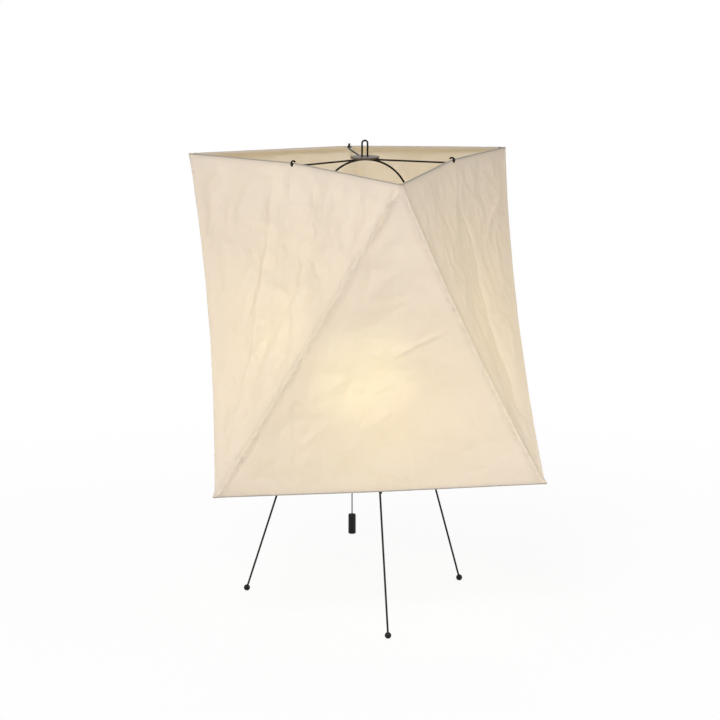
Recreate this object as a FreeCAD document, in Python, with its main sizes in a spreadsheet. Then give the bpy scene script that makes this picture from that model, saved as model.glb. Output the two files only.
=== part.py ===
import FreeCAD, Part
import math
import os
from types import SimpleNamespace

import Sketcher
from FreeCAD import Placement, Rotation, Vector

# Paper table lamp: a paper shade stretched between two wire triangles, on a wire tripod.
# Millimetres, +Z up, origin on the floor under the lamp's axis, front corner of the shade at -Y.

# Driving dimensions: name, value, meaning.
DIMENSIONS = (
    ("overall_height", 580.0, "feet to the top of the carrying loop"),
    ("seat_gap", 0.3, "room between pieces that lift, slide or turn apart"),
    ("fit_gap", 0.05, "room around a piece that is fixed in its hole"),
    ("rim_side", 400.0, "side of each rim triangle along the wire's centre line"),
    ("rim_wire", 2.4, "diameter of the rim wire"),
    ("rim_bend", 5.0, "bend radius at the corners of the rims"),
    ("hook_bend", 40.0, "bend radius of a rim where an arm or a leg holds it"),
    ("hook_pull", 4.5, "how far an arm draws the top rim inwards"),
    ("hook_rise", 5.8, "how far an arm lifts the top rim above its corners"),
    ("rest_pull", 3.0, "how far the bottom rim is drawn inwards at a leg"),
    ("rest_drop", 2.0, "how far the bottom rim dips below its corners at a leg"),
    ("rest_below_run", 3.0, "bottom rim's dip, below the legs' level run"),
    ("paper_thickness", 0.6, "thickness of the paper"),
    ("paper_gap", 0.1, "room between the paper and the rim wire"),
    ("hem_lip", 0.3, "paper that stands past the rim wire"),
    ("corner_fold", 3.0, "paper folded round a rim corner, along each side"),
    ("ridge_bow", 9.0, "how far the folds between the panels bow inwards"),
    ("valley_bow", 14.0, "how far the middle of a panel with its point down bows inwards"),
    ("panel_bow", 12.0, "how far the middle of a panel with its point up bows inwards"),
    ("notch_width", 5.0, "notch in the paper for an arm's eye"),
    ("notch_depth", 7.5, "depth of that notch from the paper's edge"),
    ("leg_wire", 2.4, "diameter of the leg wire"),
    ("leg_splay", 18.5, "lean of the legs from upright, in degrees"),
    ("shoulder_inset", 10.15, "how far a leg's shoulder corner stands inside the bottom rim"),
    ("rest_wire", 2.0, "diameter of the rest on a leg that carries the bottom rim"),
    ("foot_ball", 8.0, "diameter of a ball foot"),
    ("foot_flat", 0.4, "depth of the flat under a foot"),
    ("shoulder_bend", 15.0, "bend radius at the top of a leg"),
    ("hub_base", 168.0, "height of the hub's underside"),
    ("hub_radius", 15.0, "radius of the hub"),
    ("hub_height", 10.0, "height of the hub"),
    ("hub_chamfer", 1.0, "chamfer on the hub's edges"),
    ("socket_depth", 7.0, "depth of the hub's holes for legs and harp"),
    ("harp_wire", 2.4, "diameter of the harp wire"),
    ("harp_radius", 55.0, "radius of the harp's arch"),
    ("harp_bend", 12.0, "bend radius at the foot of the harp"),
    ("loop_wire", 2.2, "diameter of the carrying loop's wire"),
    ("loop_width", 9.0, "outer width of the carrying loop"),
    ("loop_height", 23.0, "height of the loop above the harp"),
    ("disc_radius", 17.5, "radius of the spider's disc"),
    ("disc_thickness", 2.0, "thickness of the spider's disc"),
    ("slot_room", 0.8, "room round the loop in the disc's slot"),
    ("arm_wire", 2.2, "diameter of the spider's arms"),
    ("arm_start", 8.5, "distance of the arms' inner ends from the axis"),
    ("eye_radius", 3.1, "centre line radius of the eye at an arm's end"),
    ("nipple_radius", 5.0, "outer radius of the threaded tube"),
    ("nipple_bore", 3.5, "inner radius of the threaded tube"),
    ("nipple_drop", 12.0, "threaded tube below the hub"),
    ("washer_radius", 9.0, "radius of the lock washer"),
    ("washer_thickness", 1.2, "thickness of the lock washer"),
    ("nut_width", 14.0, "width across the nuts' flats"),
    ("nut_height", 3.0, "height of the nuts"),
    ("bush_flange", 6.5, "radius of the inlet bush's flange"),
    ("bush_flange_height", 3.0, "height of that flange"),
    ("bush_spigot", 8.0, "length of the bush inside the tube"),
    ("bush_bore", 2.6, "radius of the bush's hole"),
    ("holder_radius", 18.5, "outer radius of the lampholder"),
    ("holder_wall", 1.0, "wall of the lampholder's cap and shell"),
    ("cap_height", 22.0, "height of the lampholder's cap"),
    ("cap_corner", 6.0, "rounded lower edge of the cap"),
    ("shell_height", 44.0, "height of the lampholder's shell"),
    ("shell_lip", 3.0, "how far the shell's mouth turns in"),
    ("insert_height", 29.0, "height of the insulating insert"),
    ("screw_shell_radius", 13.7, "inner radius of the screw shell"),
    ("screw_shell_wall", 0.6, "wall of the screw shell"),
    ("screw_shell_height", 28.0, "height of the screw shell"),
    ("contact_width", 6.0, "width of the centre contact"),
    ("contact_length", 16.0, "length of the centre contact"),
    ("contact_rise", 5.0, "height of the centre contact's tip"),
    ("contact_strip", 0.6, "thickness of the centre contact"),
    ("terminal_head", 2.4, "radius of a terminal screw's head"),
    ("terminal_head_height", 2.0, "height of that head"),
    ("terminal_shank", 1.5, "radius of a terminal screw's shank"),
    ("terminal_length", 5.0, "length of that shank"),
    ("pull_angle", -133.0, "direction of the pull switch round the axis, in degrees from +X"),
    ("pull_reach", 28.7, "distance of the pull cord from the axis"),
    ("housing_radius", 5.5, "outer radius of the pull switch housing"),
    ("housing_bore", 3.8, "inner radius of that housing"),
    ("housing_height", 26.0, "height of that housing"),
    ("housing_floor", 2.5, "floor and roof thickness of that housing"),
    ("housing_drop", 12.0, "housing below the cap's edge"),
    ("neck_radius", 3.5, "radius of the neck between housing and lampholder"),
    ("plunger_radius", 1.5, "radius of the plunger's stem"),
    ("plunger_head", 3.2, "radius of the plunger's head"),
    ("plunger_head_height", 2.0, "height of the plunger's head"),
    ("plunger_ferrule", 2.2, "radius of the ferrule that grips the cord"),
    ("ferrule_height", 4.0, "height of that ferrule"),
    ("running_gap", 0.08, "room between the plunger and its hole"),
    ("pull_stroke", 8.0, "travel of the pull switch"),
    ("cord_radius", 0.7, "radius of the pull cord"),
    ("weight_base", 95.0, "height of the pull weight's underside"),
    ("weight_radius", 4.6, "radius of the pull weight"),
    ("weight_height", 24.5, "height of the pull weight"),
    ("weight_round", 0.8, "rounding of the weight's edges"),
    ("weight_grip", 6.0, "length of cord inside the weight"),
    ("bulb_length", 108.7, "bulb from contact to crown"),
    ("bulb_radius", 30.0, "radius of the bulb's globe"),
    ("bulb_neck", 12.4, "radius of the bulb's neck"),
    ("bulb_glass", 0.8, "thickness of the bulb's glass"),
    ("bulb_curve", 70.0, "radius of the curve between globe and neck"),
    ("globe_angle", 35.0, "where the globe ends, in degrees below its middle"),
    ("bulb_cap_radius", 13.0, "radius of the bulb's screw cap"),
    ("bulb_cap_wall", 0.5, "wall of the bulb's screw cap"),
    ("bulb_cap_height", 25.0, "height of the bulb's screw cap"),
    ("bulb_tip_radius", 5.0, "radius of the bulb's contact"),
    ("bulb_tip_height", 2.5, "height of the bulb's contact and its insulating ring"),
    ("stem_radius", 4.0, "radius of the glass stem in the bulb"),
    ("stem_flare", 8.0, "height of the flare at the foot of the stem"),
    ("stem_height", 44.0, "height of that stem above the neck's end"),
    ("filament_radius", 14.0, "radius of the filament's ring"),
    ("filament_wire", 0.8, "diameter of the filament's coil and its supports"),
)

doc = FreeCAD.newDocument("paper_table_lamp")
sheet = doc.addObject("Spreadsheet::Sheet", "sizes")
for row, (alias, number, meaning) in enumerate(DIMENSIONS, start=1):
    sheet.set(f"A{row}", alias)
    sheet.set(f"B{row}", str(number))
    sheet.setAlias(f"B{row}", alias)
    sheet.set(f"C{row}", meaning)
doc.recompute()


class Size:
    """A length or angle that knows its number and the spreadsheet formula it comes from."""

    def __init__(self, value, formula):
        self.value = value
        self.formula = formula

    def __float__(self):
        return self.value

    def __add__(self, other):
        other = as_size(other)
        return Size(self.value + other.value, f"({self.formula} + {other.formula})")

    def __sub__(self, other):
        other = as_size(other)
        return Size(self.value - other.value, f"({self.formula} - {other.formula})")

    def __mul__(self, other):
        other = as_size(other)
        return Size(self.value * other.value, f"({self.formula} * {other.formula})")

    def __truediv__(self, other):
        other = as_size(other)
        return Size(self.value / other.value, f"({self.formula} / {other.formula})")


def as_size(number):
    return number if isinstance(number, Size) else Size(float(number), repr(float(number)))


sizes = {alias: Size(float(sheet.get(alias)), f"sizes.{alias}") for alias, _, _ in DIMENSIONS}
s = SimpleNamespace(**sizes)
ZERO = as_size(0.0)
RIGHT = 1
LEFT = -1
SQRT3 = math.sqrt(3.0)

# Directions round the axis, in degrees from +X: legs stand under the top corners.
TOP_CORNERS = {"front": -90.0, "right": 30.0, "left": 150.0}
BOTTOM_CORNERS = {"right": -30.0, "back": 90.0, "left": 210.0}
HARP_ENDS = (0.0, 180.0)

# Heights that several pieces share.
leg_run = s.hub_base + s.hub_height / 2
foot_centre = s.foot_ball / 2 - s.foot_flat
hub_top = s.hub_base + s.hub_height
harp_crown = s.overall_height - s.loop_height
harp_centre = harp_crown - s.harp_wire / 2 - s.harp_radius
disc_base = harp_crown + s.seat_gap
arm_level = disc_base - s.fit_gap - s.arm_wire / 2
inner_radius = s.rim_side / (2 * SQRT3)
hook_reach = inner_radius - s.hook_pull
rest_reach = inner_radius - s.rest_pull
top_middle = arm_level + s.arm_wire / 2 + s.seat_gap + s.rim_wire / 2
top_corner = top_middle - s.hook_rise
bottom_middle = leg_run - s.rest_below_run
bottom_corner = bottom_middle + s.rest_drop
shoulder_corner = rest_reach - s.shoulder_inset
leg_slope = Size(math.tan(math.radians(float(s.leg_splay))), f"tan({s.leg_splay.formula} * 1 deg)")
foot_circle = shoulder_corner + (leg_run - foot_centre) * leg_slope
socket_end = s.hub_radius - s.socket_depth
cap_top = hub_top + s.cap_height
shell_base = cap_top + s.seat_gap
insert_base = hub_top + s.holder_wall + s.nut_height + s.seat_gap
insert_top = insert_base + s.insert_height
bulb_base = insert_top + s.contact_rise + s.seat_gap
bulb_crown = bulb_base + s.bulb_length
globe_middle = bulb_crown - s.bulb_radius
housing_base = cap_top - s.housing_drop
housing_top = housing_base + s.housing_height
ferrule_top = housing_base - s.seat_gap
cord_top = ferrule_top - s.ferrule_height - s.seat_gap
weight_top = s.weight_base + s.weight_height

nodes = []


def keep(piece, label):
    """Name a finished sub-part and put it on the list to write."""
    piece.Label = label
    nodes.append(piece)
    return piece


def bind(piece, **formulas):
    for name, size in formulas.items():
        piece.setExpression(name, as_size(size).formula)


def turn_to(angle):
    """Placement that turns a piece drawn along +X to a direction round the axis."""
    return Placement(Vector(), Rotation(Vector(0, 0, 1), angle))


def plane(body, role):
    return next(feature for feature in body.Origin.OriginFeatures if feature.Role == role)


def new_sketch(body, name, role):
    sketch = body.newObject("Sketcher::SketchObject", name)
    sketch.AttachmentSupport = (plane(body, role), [""])
    sketch.MapMode = "FlatFace"
    return sketch


def fix(sketch, kind, *items):
    """Add a constraint whose last item is a Size, and bind it to the spreadsheet."""
    *ends, size = items
    index = sketch.addConstraint(Sketcher.Constraint(kind, *ends, float(size)))
    sketch.setExpression(f"Constraints[{index}]", size.formula)


def tie(sketch, kind, *items):
    sketch.addConstraint(Sketcher.Constraint(kind, *items))


def pin_point(sketch, geometry, end, across, up):
    """Fix a sketch point at a distance across and up from the sketch's origin."""
    if float(across) == 0.0:
        tie(sketch, "PointOnObject", geometry, end, -2)
    else:
        fix(sketch, "DistanceX", -1, 1, geometry, end, across)
    fix(sketch, "DistanceY", -1, 1, geometry, end, up)


def flat(across, up):
    return Vector(float(across), float(up), 0)


def line(start, end):
    return Part.LineSegment(flat(*start), flat(*end))


def round_part(centre, radius, start, end):
    """Arc of a circle in a sketch, from one angle to another, in degrees."""
    circle = Part.Circle(flat(*centre), Vector(0, 0, 1), float(radius))
    return Part.ArcOfCircle(circle, math.radians(start), math.radians(end))


def arc_between(start, end, radius, bulge):
    """Short arc between two sketch points that bulges right (1) or left (-1) of the way along it."""
    first = flat(*start)
    last = flat(*end)
    chord = last - first
    side = Vector(chord.y, -chord.x, 0).normalize() * bulge
    to_centre = math.sqrt(float(radius) ** 2 - (chord.Length / 2) ** 2)
    centre = (first + last) * 0.5 - side * to_centre
    angles = [math.degrees(math.atan2(*(point - centre)[1::-1])) for point in (first, last)]
    if bulge == LEFT:
        angles.reverse()
    return round_part((centre.x, centre.y), radius, *angles)


# Pieces turned on a lathe
def turned(label, outline, place=None):
    """Body of revolution about Z.

    A point is (radius, height), or (radius, height, arc radius, bulge) where an arc follows it.
    """
    body = doc.addObject("PartDesign::Body", label)
    sketch = new_sketch(body, f"{label}_outline", "XZ_Plane")
    count = len(outline)
    first_end = []
    for index, point in enumerate(outline):
        following = outline[(index + 1) % count]
        if len(point) == 4:
            sketch.addGeometry(arc_between(point[:2], following[:2], *point[2:]), False)
        else:
            sketch.addGeometry(line(point[:2], following[:2]), False)
        start = sketch.Geometry[index].StartPoint
        first_end.append(1 if start.isEqual(flat(*point[:2]), 1e-6) else 2)
    for index, point in enumerate(outline):
        before = (index - 1) % count
        tie(sketch, "Coincident", before, 3 - first_end[before], index, first_end[index])
        pin_point(sketch, index, first_end[index], as_size(point[0]), as_size(point[1]))
        if len(point) == 4:
            fix(sketch, "Radius", index, point[2])
    revolution = body.newObject("PartDesign::Revolution", f"{label}_turn")
    revolution.Profile = sketch
    revolution.ReferenceAxis = (sketch, ["V_Axis"])
    revolution.Angle = 360.0
    if place is not None:
        body.Placement = place
    return body


def tube_outline(inner, outer, base, top):
    return [(inner, base), (outer, base), (outer, top), (inner, top)]


# Pieces bent from round wire in one plane
def swept(body, path, wire, role, offset, across, up):
    """Sweep a round wire along a path sketch that starts square to an origin plane."""
    section = new_sketch(body, f"{body.Name}_section", role)
    section.setExpression("AttachmentOffset.Base.z", offset.formula)
    section.addGeometry(Part.Circle(flat(across, up), Vector(0, 0, 1), float(wire) / 2), False)
    fix(section, "Radius", 0, wire / 2)
    if float(across) == 0.0:
        tie(section, "PointOnObject", 0, 3, -2)
    else:
        fix(section, "DistanceX", -1, 1, 0, 3, across)
    if float(up) == 0.0:
        tie(section, "PointOnObject", 0, 3, -1)
    else:
        fix(section, "DistanceY", -1, 1, 0, 3, up)
    pipe = body.newObject("PartDesign::AdditivePipe", f"{body.Name}_pipe")
    pipe.Profile = section
    pipe.Spine = (path, [f"Edge{number + 1}" for number in range(path.GeometryCount)])
    return body


def leg_blank(label):
    """Level run out of the hub, a shoulder, and the splayed stretch down into the foot."""
    body = doc.addObject("PartDesign::Body", label)
    path = new_sketch(body, f"{label}_path", "XZ_Plane")
    lean = math.radians(float(s.leg_splay))
    corner = float(shoulder_corner)
    tangent = float(s.shoulder_bend) * math.tan((math.pi / 2 - lean) / 2)
    bend_start = (corner - tangent, leg_run)
    bend_end = (corner + tangent * math.sin(lean), float(leg_run) - tangent * math.cos(lean))
    centre = (bend_start[0], float(leg_run) - float(s.shoulder_bend))
    path.addGeometry(line((socket_end, leg_run), bend_start), False)
    path.addGeometry(round_part(centre, s.shoulder_bend, float(s.leg_splay), 90.0), False)
    path.addGeometry(line(bend_end, (foot_circle, foot_centre)), False)
    tie(path, "Horizontal", 0)
    tie(path, "Tangent", 0, 2, 1, 2)
    tie(path, "Tangent", 1, 1, 2, 1)
    fix(path, "Radius", 1, s.shoulder_bend)
    pin_point(path, 0, 1, socket_end, leg_run)
    pin_point(path, 2, 2, foot_circle, foot_centre)
    index = path.addConstraint(Sketcher.Constraint("Angle", 2, lean - math.pi / 2))
    path.setExpression(f"Constraints[{index}]", f"({s.leg_splay.formula} - 90) * 1 deg")
    return swept(body, path, s.leg_wire, "YZ_Plane", socket_end, ZERO, leg_run)


def leg_reach_at(height):
    """Distance of a leg's centre line from the axis at a height, on its bend or its splayed stretch."""
    lean = math.radians(float(s.leg_splay))
    bend = float(s.shoulder_bend)
    straight = float(foot_circle) - (height - float(foot_centre)) * math.tan(lean)
    centre_height = float(leg_run) - bend
    if height <= centre_height + bend * math.sin(lean):
        return straight
    beside = float(foot_circle) - (centre_height - float(foot_centre)) * math.tan(lean)
    centre = beside - bend / math.cos(lean)
    return centre + math.sqrt(bend ** 2 - (height - centre_height) ** 2)


def cylinder(name, radius, height):
    piece = doc.addObject("Part::Cylinder", name)
    bind(piece, Radius=radius, Height=height)
    return piece


def leg(name, angle):
    """A leg with the short rest welded to it that carries the bottom rim."""
    blank = leg_blank(f"leg_{name}_wire")
    blank.Placement = turn_to(angle)
    rest_level = float(bottom_middle) - float(s.rim_wire) / 2 - float(s.seat_gap) - float(s.rest_wire) / 2
    start = leg_reach_at(rest_level)
    rest = cylinder(f"leg_{name}_rest", s.rest_wire / 2, rest_reach + s.rim_wire / 2 - start)
    along_x = Placement(Vector(start, 0, rest_level), Rotation(Vector(0, 1, 0), 90))
    rest.Placement = turn_to(angle).multiply(along_x)
    welded = doc.addObject("Part::Fuse", f"leg_{name}")
    welded.Base = blank
    welded.Tool = rest
    return keep(welded, f"leg_{name}")


def foot(name, angle):
    """Ball foot with a flat underside and a hole for the end of the leg."""
    ball = doc.addObject("Part::Sphere", f"foot_{name}_ball")
    bind(ball, Radius=s.foot_ball / 2)
    radius = s.foot_ball / 2
    ball.setExpression("Angle1", f"-asin(({radius.formula} - {s.foot_flat.formula}) / {radius.formula})")
    hole = cylinder(f"foot_{name}_hole", s.leg_wire / 2 + s.fit_gap, s.foot_ball)
    centre = Placement(Vector(float(foot_circle), 0, float(foot_centre)), Rotation())
    ball.Placement = turn_to(angle).multiply(centre)
    back = Placement(Vector(0, 0, -float(s.fit_gap)), Rotation())
    along_leg = Placement(Vector(), Rotation(Vector(0, 1, 0), -float(s.leg_splay)))
    hole.Placement = ball.Placement.multiply(along_leg).multiply(back)
    bored = doc.addObject("Part::Cut", f"foot_{name}")
    bored.Base = ball
    bored.Tool = hole
    return keep(bored, f"foot_{name}")


for name, angle in TOP_CORNERS.items():
    leg(name, angle)
    foot(name, angle)


# Hub, threaded tube and the fasteners on it
def socket_hole(name, wire, angle):
    hole = cylinder(name, wire / 2 + s.fit_gap, s.socket_depth + s.fit_gap + s.hub_chamfer)
    start = float(socket_end) - float(s.fit_gap)
    along_x = Placement(Vector(start, 0, float(leg_run)), Rotation(Vector(0, 1, 0), 90))
    hole.Placement = turn_to(angle).multiply(along_x)
    return hole


def hub():
    bore = s.nipple_radius + s.fit_gap
    edge = s.hub_radius - s.hub_chamfer
    blank = turned("hub_blank", [
        (bore, s.hub_base),
        (edge, s.hub_base),
        (s.hub_radius, s.hub_base + s.hub_chamfer),
        (s.hub_radius, hub_top - s.hub_chamfer),
        (edge, hub_top),
        (bore, hub_top),
    ])
    holes = [socket_hole(f"leg_socket_{name}", s.leg_wire, angle) for name, angle in TOP_CORNERS.items()]
    holes += [socket_hole(f"harp_socket_{angle:.0f}", s.harp_wire, angle) for angle in HARP_ENDS]
    sockets = doc.addObject("Part::MultiFuse", "hub_sockets")
    sockets.Shapes = holes
    bored = doc.addObject("Part::Cut", "stand_hub")
    bored.Base = blank
    bored.Tool = sockets
    return keep(bored, "stand_hub")


def hex_nut(label, base):
    prism = doc.addObject("Part::Prism", f"{label}_blank")
    prism.Polygon = 6
    bind(prism, Circumradius=s.nut_width / SQRT3, Height=s.nut_height)
    prism.setExpression("Placement.Base.z", base.formula)
    hole = cylinder(f"{label}_hole", s.nipple_radius + s.fit_gap, s.nut_height)
    hole.setExpression("Placement.Base.z", base.formula)
    nut = doc.addObject("Part::Cut", label)
    nut.Base = prism
    nut.Tool = hole
    return keep(nut, label)


nipple_base = s.hub_base - s.nipple_drop
washer_base = s.hub_base - s.washer_thickness
cap_nut_base = hub_top + s.holder_wall
hub()
keep(turned("nipple", tube_outline(
    s.nipple_bore, s.nipple_radius, nipple_base, cap_nut_base + s.nut_height)), "nipple")
keep(turned("lock_washer", tube_outline(
    s.nipple_radius + s.fit_gap, s.washer_radius, washer_base, s.hub_base)), "lock_washer")
hex_nut("hub_nut", washer_base - s.nut_height)
hex_nut("cap_nut", cap_nut_base)
spigot = s.nipple_bore - s.fit_gap
keep(turned("inlet_bush", [
    (s.bush_bore, nipple_base - s.bush_flange_height),
    (s.bush_flange, nipple_base - s.bush_flange_height),
    (s.bush_flange, nipple_base),
    (spigot, nipple_base),
    (spigot, nipple_base + s.bush_spigot),
    (s.bush_bore, nipple_base + s.bush_spigot),
]), "inlet_bush")


# Harp and carrying loop
def harp():
    """Wire arch over the bulb, with both feet bent in to the hub."""
    body = doc.addObject("PartDesign::Body", "harp")
    path = new_sketch(body, "harp_path", "XZ_Plane")
    side = float(s.harp_radius)
    run = float(leg_run)
    bend = float(s.harp_bend)
    top = float(harp_centre)
    path.addGeometry(line((-float(socket_end), run), (bend - side, run)), False)
    path.addGeometry(round_part((bend - side, run + bend), bend, 180, 270), False)
    path.addGeometry(line((-side, run + bend), (-side, top)), False)
    path.addGeometry(round_part((0, top), side, 0, 180), False)
    path.addGeometry(line((side, top), (side, run + bend)), False)
    path.addGeometry(round_part((side - bend, run + bend), bend, 270, 360), False)
    path.addGeometry(line((side - bend, run), (socket_end, run)), False)
    for level in (0, 6):
        tie(path, "Horizontal", level)
    for upright in (2, 4):
        tie(path, "Vertical", upright)
    for joint in ((0, 2, 1, 2), (1, 1, 2, 1), (2, 2, 3, 2), (3, 1, 4, 1), (4, 2, 5, 2), (5, 1, 6, 1)):
        tie(path, "Tangent", *joint)
    fix(path, "Radius", 1, s.harp_bend)
    fix(path, "Radius", 5, s.harp_bend)
    fix(path, "Radius", 3, s.harp_radius)
    pin_point(path, 3, 3, ZERO, harp_centre)
    fix(path, "DistanceX", 0, 1, -1, 1, socket_end)
    fix(path, "DistanceY", -1, 1, 0, 1, leg_run)
    pin_point(path, 6, 2, socket_end, leg_run)
    return keep(swept(body, path, s.harp_wire, "YZ_Plane", ZERO - socket_end, ZERO, leg_run), "harp")


def carrying_loop():
    """Narrow hairpin that stands on the harp's crown."""
    body = doc.addObject("PartDesign::Body", "carrying_loop")
    path = new_sketch(body, "loop_path", "XZ_Plane")
    half = s.loop_width / 2 - s.loop_wire / 2
    foot_level = harp_crown + s.fit_gap
    bend_level = s.overall_height - s.loop_wire / 2 - half
    left = ZERO - half
    path.addGeometry(line((left, foot_level), (left, bend_level)), False)
    path.addGeometry(round_part((0, bend_level), half, 0, 180), False)
    path.addGeometry(line((half, bend_level), (half, foot_level)), False)
    for upright in (0, 2):
        tie(path, "Vertical", upright)
    tie(path, "Tangent", 0, 2, 1, 2)
    tie(path, "Tangent", 1, 1, 2, 1)
    fix(path, "Radius", 1, half)
    pin_point(path, 1, 3, ZERO, bend_level)
    fix(path, "DistanceY", -1, 1, 0, 1, foot_level)
    fix(path, "DistanceY", -1, 1, 2, 2, foot_level)
    section = new_sketch(body, "loop_section", "XY_Plane")
    section.setExpression("AttachmentOffset.Base.z", foot_level.formula)
    section.addGeometry(Part.Circle(flat(left, 0), Vector(0, 0, 1), float(s.loop_wire) / 2), False)
    fix(section, "Radius", 0, s.loop_wire / 2)
    fix(section, "DistanceX", 0, 3, -1, 1, half)
    tie(section, "PointOnObject", 0, 3, -1)
    pipe = body.newObject("PartDesign::AdditivePipe", "loop_pipe")
    pipe.Profile = section
    pipe.Spine = (path, ["Edge1", "Edge2", "Edge3"])
    return keep(body, "carrying_loop")


harp()
carrying_loop()


# Spider that carries the shade on the harp
def spider_disc():
    blank = cylinder("disc_blank", s.disc_radius, s.disc_thickness)
    blank.setExpression("Placement.Base.z", disc_base.formula)
    slot = doc.addObject("Part::Box", "disc_slot")
    length = s.loop_width + s.slot_room * 2
    width = s.loop_wire + s.slot_room * 2
    bind(slot, Length=length, Width=width, Height=s.disc_thickness)
    slot.setExpression("Placement.Base.x", (ZERO - length / 2).formula)
    slot.setExpression("Placement.Base.y", (ZERO - width / 2).formula)
    slot.setExpression("Placement.Base.z", disc_base.formula)
    slotted = doc.addObject("Part::Cut", "spider_disc")
    slotted.Base = blank
    slotted.Tool = slot
    return keep(slotted, "spider_disc")


def spider_arm(name, angle):
    """Level arm under the disc, curled up at its end into an open eye round the rim."""
    label = f"spider_arm_{name}"
    body = doc.addObject("PartDesign::Body", label)
    path = new_sketch(body, f"{label}_path", "XZ_Plane")
    eye_centre = (hook_reach, arm_level + s.eye_radius)
    eye_end = arm_level + s.eye_radius * 1.5
    path.addGeometry(line((s.arm_start, arm_level), (hook_reach, arm_level)), False)
    path.addGeometry(round_part(eye_centre, s.eye_radius, -90, 150), False)
    tie(path, "Horizontal", 0)
    tie(path, "Tangent", 0, 2, 1, 1)
    pin_point(path, 0, 1, s.arm_start, arm_level)
    fix(path, "DistanceX", -1, 1, 0, 2, hook_reach)
    fix(path, "Radius", 1, s.eye_radius)
    fix(path, "DistanceY", -1, 1, 1, 2, eye_end)
    swept(body, path, s.arm_wire, "YZ_Plane", s.arm_start, ZERO, arm_level)
    body.Placement = turn_to(angle)
    return keep(body, label)


spider_disc()
for name, angle in BOTTOM_CORNERS.items():
    spider_arm(name, angle)


# Rim wires: triangles whose sides are drawn in and lifted or lowered at their middles
def around(reach, angle, height):
    """Point at a distance from the axis, in a direction in degrees, at a height."""
    turn = math.radians(angle)
    return Vector(float(reach) * math.cos(turn), float(reach) * math.sin(turn), float(height))


def rounded_path(points, radii):
    """Closed path of straight runs joined by tangent arcs, starting half way along the last run."""
    count = len(points)
    edges = []
    here = (points[-1] + points[0]) * 0.5
    home = here
    for index, corner in enumerate(points):
        towards = (corner - points[index - 1]).normalize()
        away = (points[(index + 1) % count] - corner).normalize()
        half_turn = towards.getAngle(away) / 2
        run = float(radii[index]) * math.tan(half_turn)
        inward = (away - towards).normalize()
        middle = corner + inward * (float(radii[index]) * (1 / math.cos(half_turn) - 1))
        start = corner - towards * run
        end = corner + away * run
        edges.append(Part.LineSegment(here, start).toShape())
        edges.append(Part.Arc(start, middle, end).toShape())
        here = end
    edges.append(Part.LineSegment(here, home).toShape())
    return Part.Wire(edges)


def rim(label, corners, corner_height, reach, middle_height):
    points = []
    for angle in sorted(corners.values()):
        points.append(around(inner_radius * 2, angle, corner_height))
        points.append(around(reach, angle + 60, middle_height))
    path = rounded_path(points, [s.rim_bend, s.hook_bend] * 3)
    start = path.Edges[0].valueAt(path.Edges[0].FirstParameter)
    along = path.Edges[0].tangentAt(path.Edges[0].FirstParameter)
    section = Part.Wire(Part.makeCircle(float(s.rim_wire) / 2, start, along))
    piece = doc.addObject("Part::Feature", label)
    piece.Shape = path.makePipeShell([section], True, False)
    return keep(piece, label)


rim("top_rim", TOP_CORNERS, top_corner, hook_reach, top_middle)
rim("bottom_rim", BOTTOM_CORNERS, bottom_corner, rest_reach, bottom_middle)


# Paper shade: six triangular panels, each folded along its middle
paper_offset = s.rim_wire / 2 + s.paper_gap + s.paper_thickness
paper_inner = inner_radius + paper_offset
hem_reach = s.rim_wire / 2 + s.hem_lip
paper_top = top_corner + hem_reach
paper_top_middle = top_middle + hem_reach
paper_bottom = bottom_corner - hem_reach
paper_bottom_middle = bottom_middle - hem_reach
FOLD_COS = math.cos(math.radians(30))


def inwards(point, distance):
    """The point moved level towards the axis."""
    level = Vector(point.x, point.y, 0)
    return point - level.normalize() * float(distance)


def bowed(bottom, top, bow):
    """Fold line of the paper: a shallow curve from bottom to top whose middle bows towards the axis."""
    fold = Part.BezierCurve()
    fold.setPoles([bottom, inwards((bottom + top) * 0.5, float(bow) * 2), top])
    return fold.toShape()


def fold_lines(point_up, depth):
    """Left, middle and right fold of a panel that faces +X, moved inwards by depth."""
    narrow_reach = float(paper_inner) * 2 - float(s.corner_fold) * FOLD_COS
    narrow_half = float(s.corner_fold) / 2
    wide_half = float(paper_inner) * SQRT3 - float(s.corner_fold)
    folds = []
    for side in (-1, 0, 1):
        if point_up:
            middle_reach = paper_inner - s.rest_pull
            wide = Vector(float(paper_inner), side * wide_half, float(paper_bottom))
            if side == 0:
                wide = Vector(float(middle_reach), 0, float(paper_bottom_middle))
            narrow = Vector(narrow_reach, side * narrow_half, float(paper_top))
            bottom, top = wide, narrow
            bow = s.panel_bow if side == 0 else s.ridge_bow
        else:
            middle_reach = paper_inner - s.hook_pull
            wide = Vector(float(paper_inner), side * wide_half, float(paper_top))
            if side == 0:
                wide = Vector(float(middle_reach), 0, float(paper_top_middle))
            narrow = Vector(narrow_reach, side * narrow_half, float(paper_bottom))
            bottom, top = narrow, wide
            bow = s.valley_bow if side == 0 else s.ridge_bow
        folds.append(bowed(inwards(bottom, depth), inwards(top, depth), bow))
    return folds


def fold_end(fold, last):
    return fold.valueAt(fold.LastParameter if last else fold.FirstParameter)


def edge_strip(outer_pair, inner_pair, last):
    """Narrow face along the paper's top or bottom edge between two folds."""
    outer = Part.LineSegment(*[fold_end(fold, last) for fold in outer_pair]).toShape()
    inner = Part.LineSegment(*[fold_end(fold, last) for fold in inner_pair]).toShape()
    return Part.makeRuledSurface(outer, inner)


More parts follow.
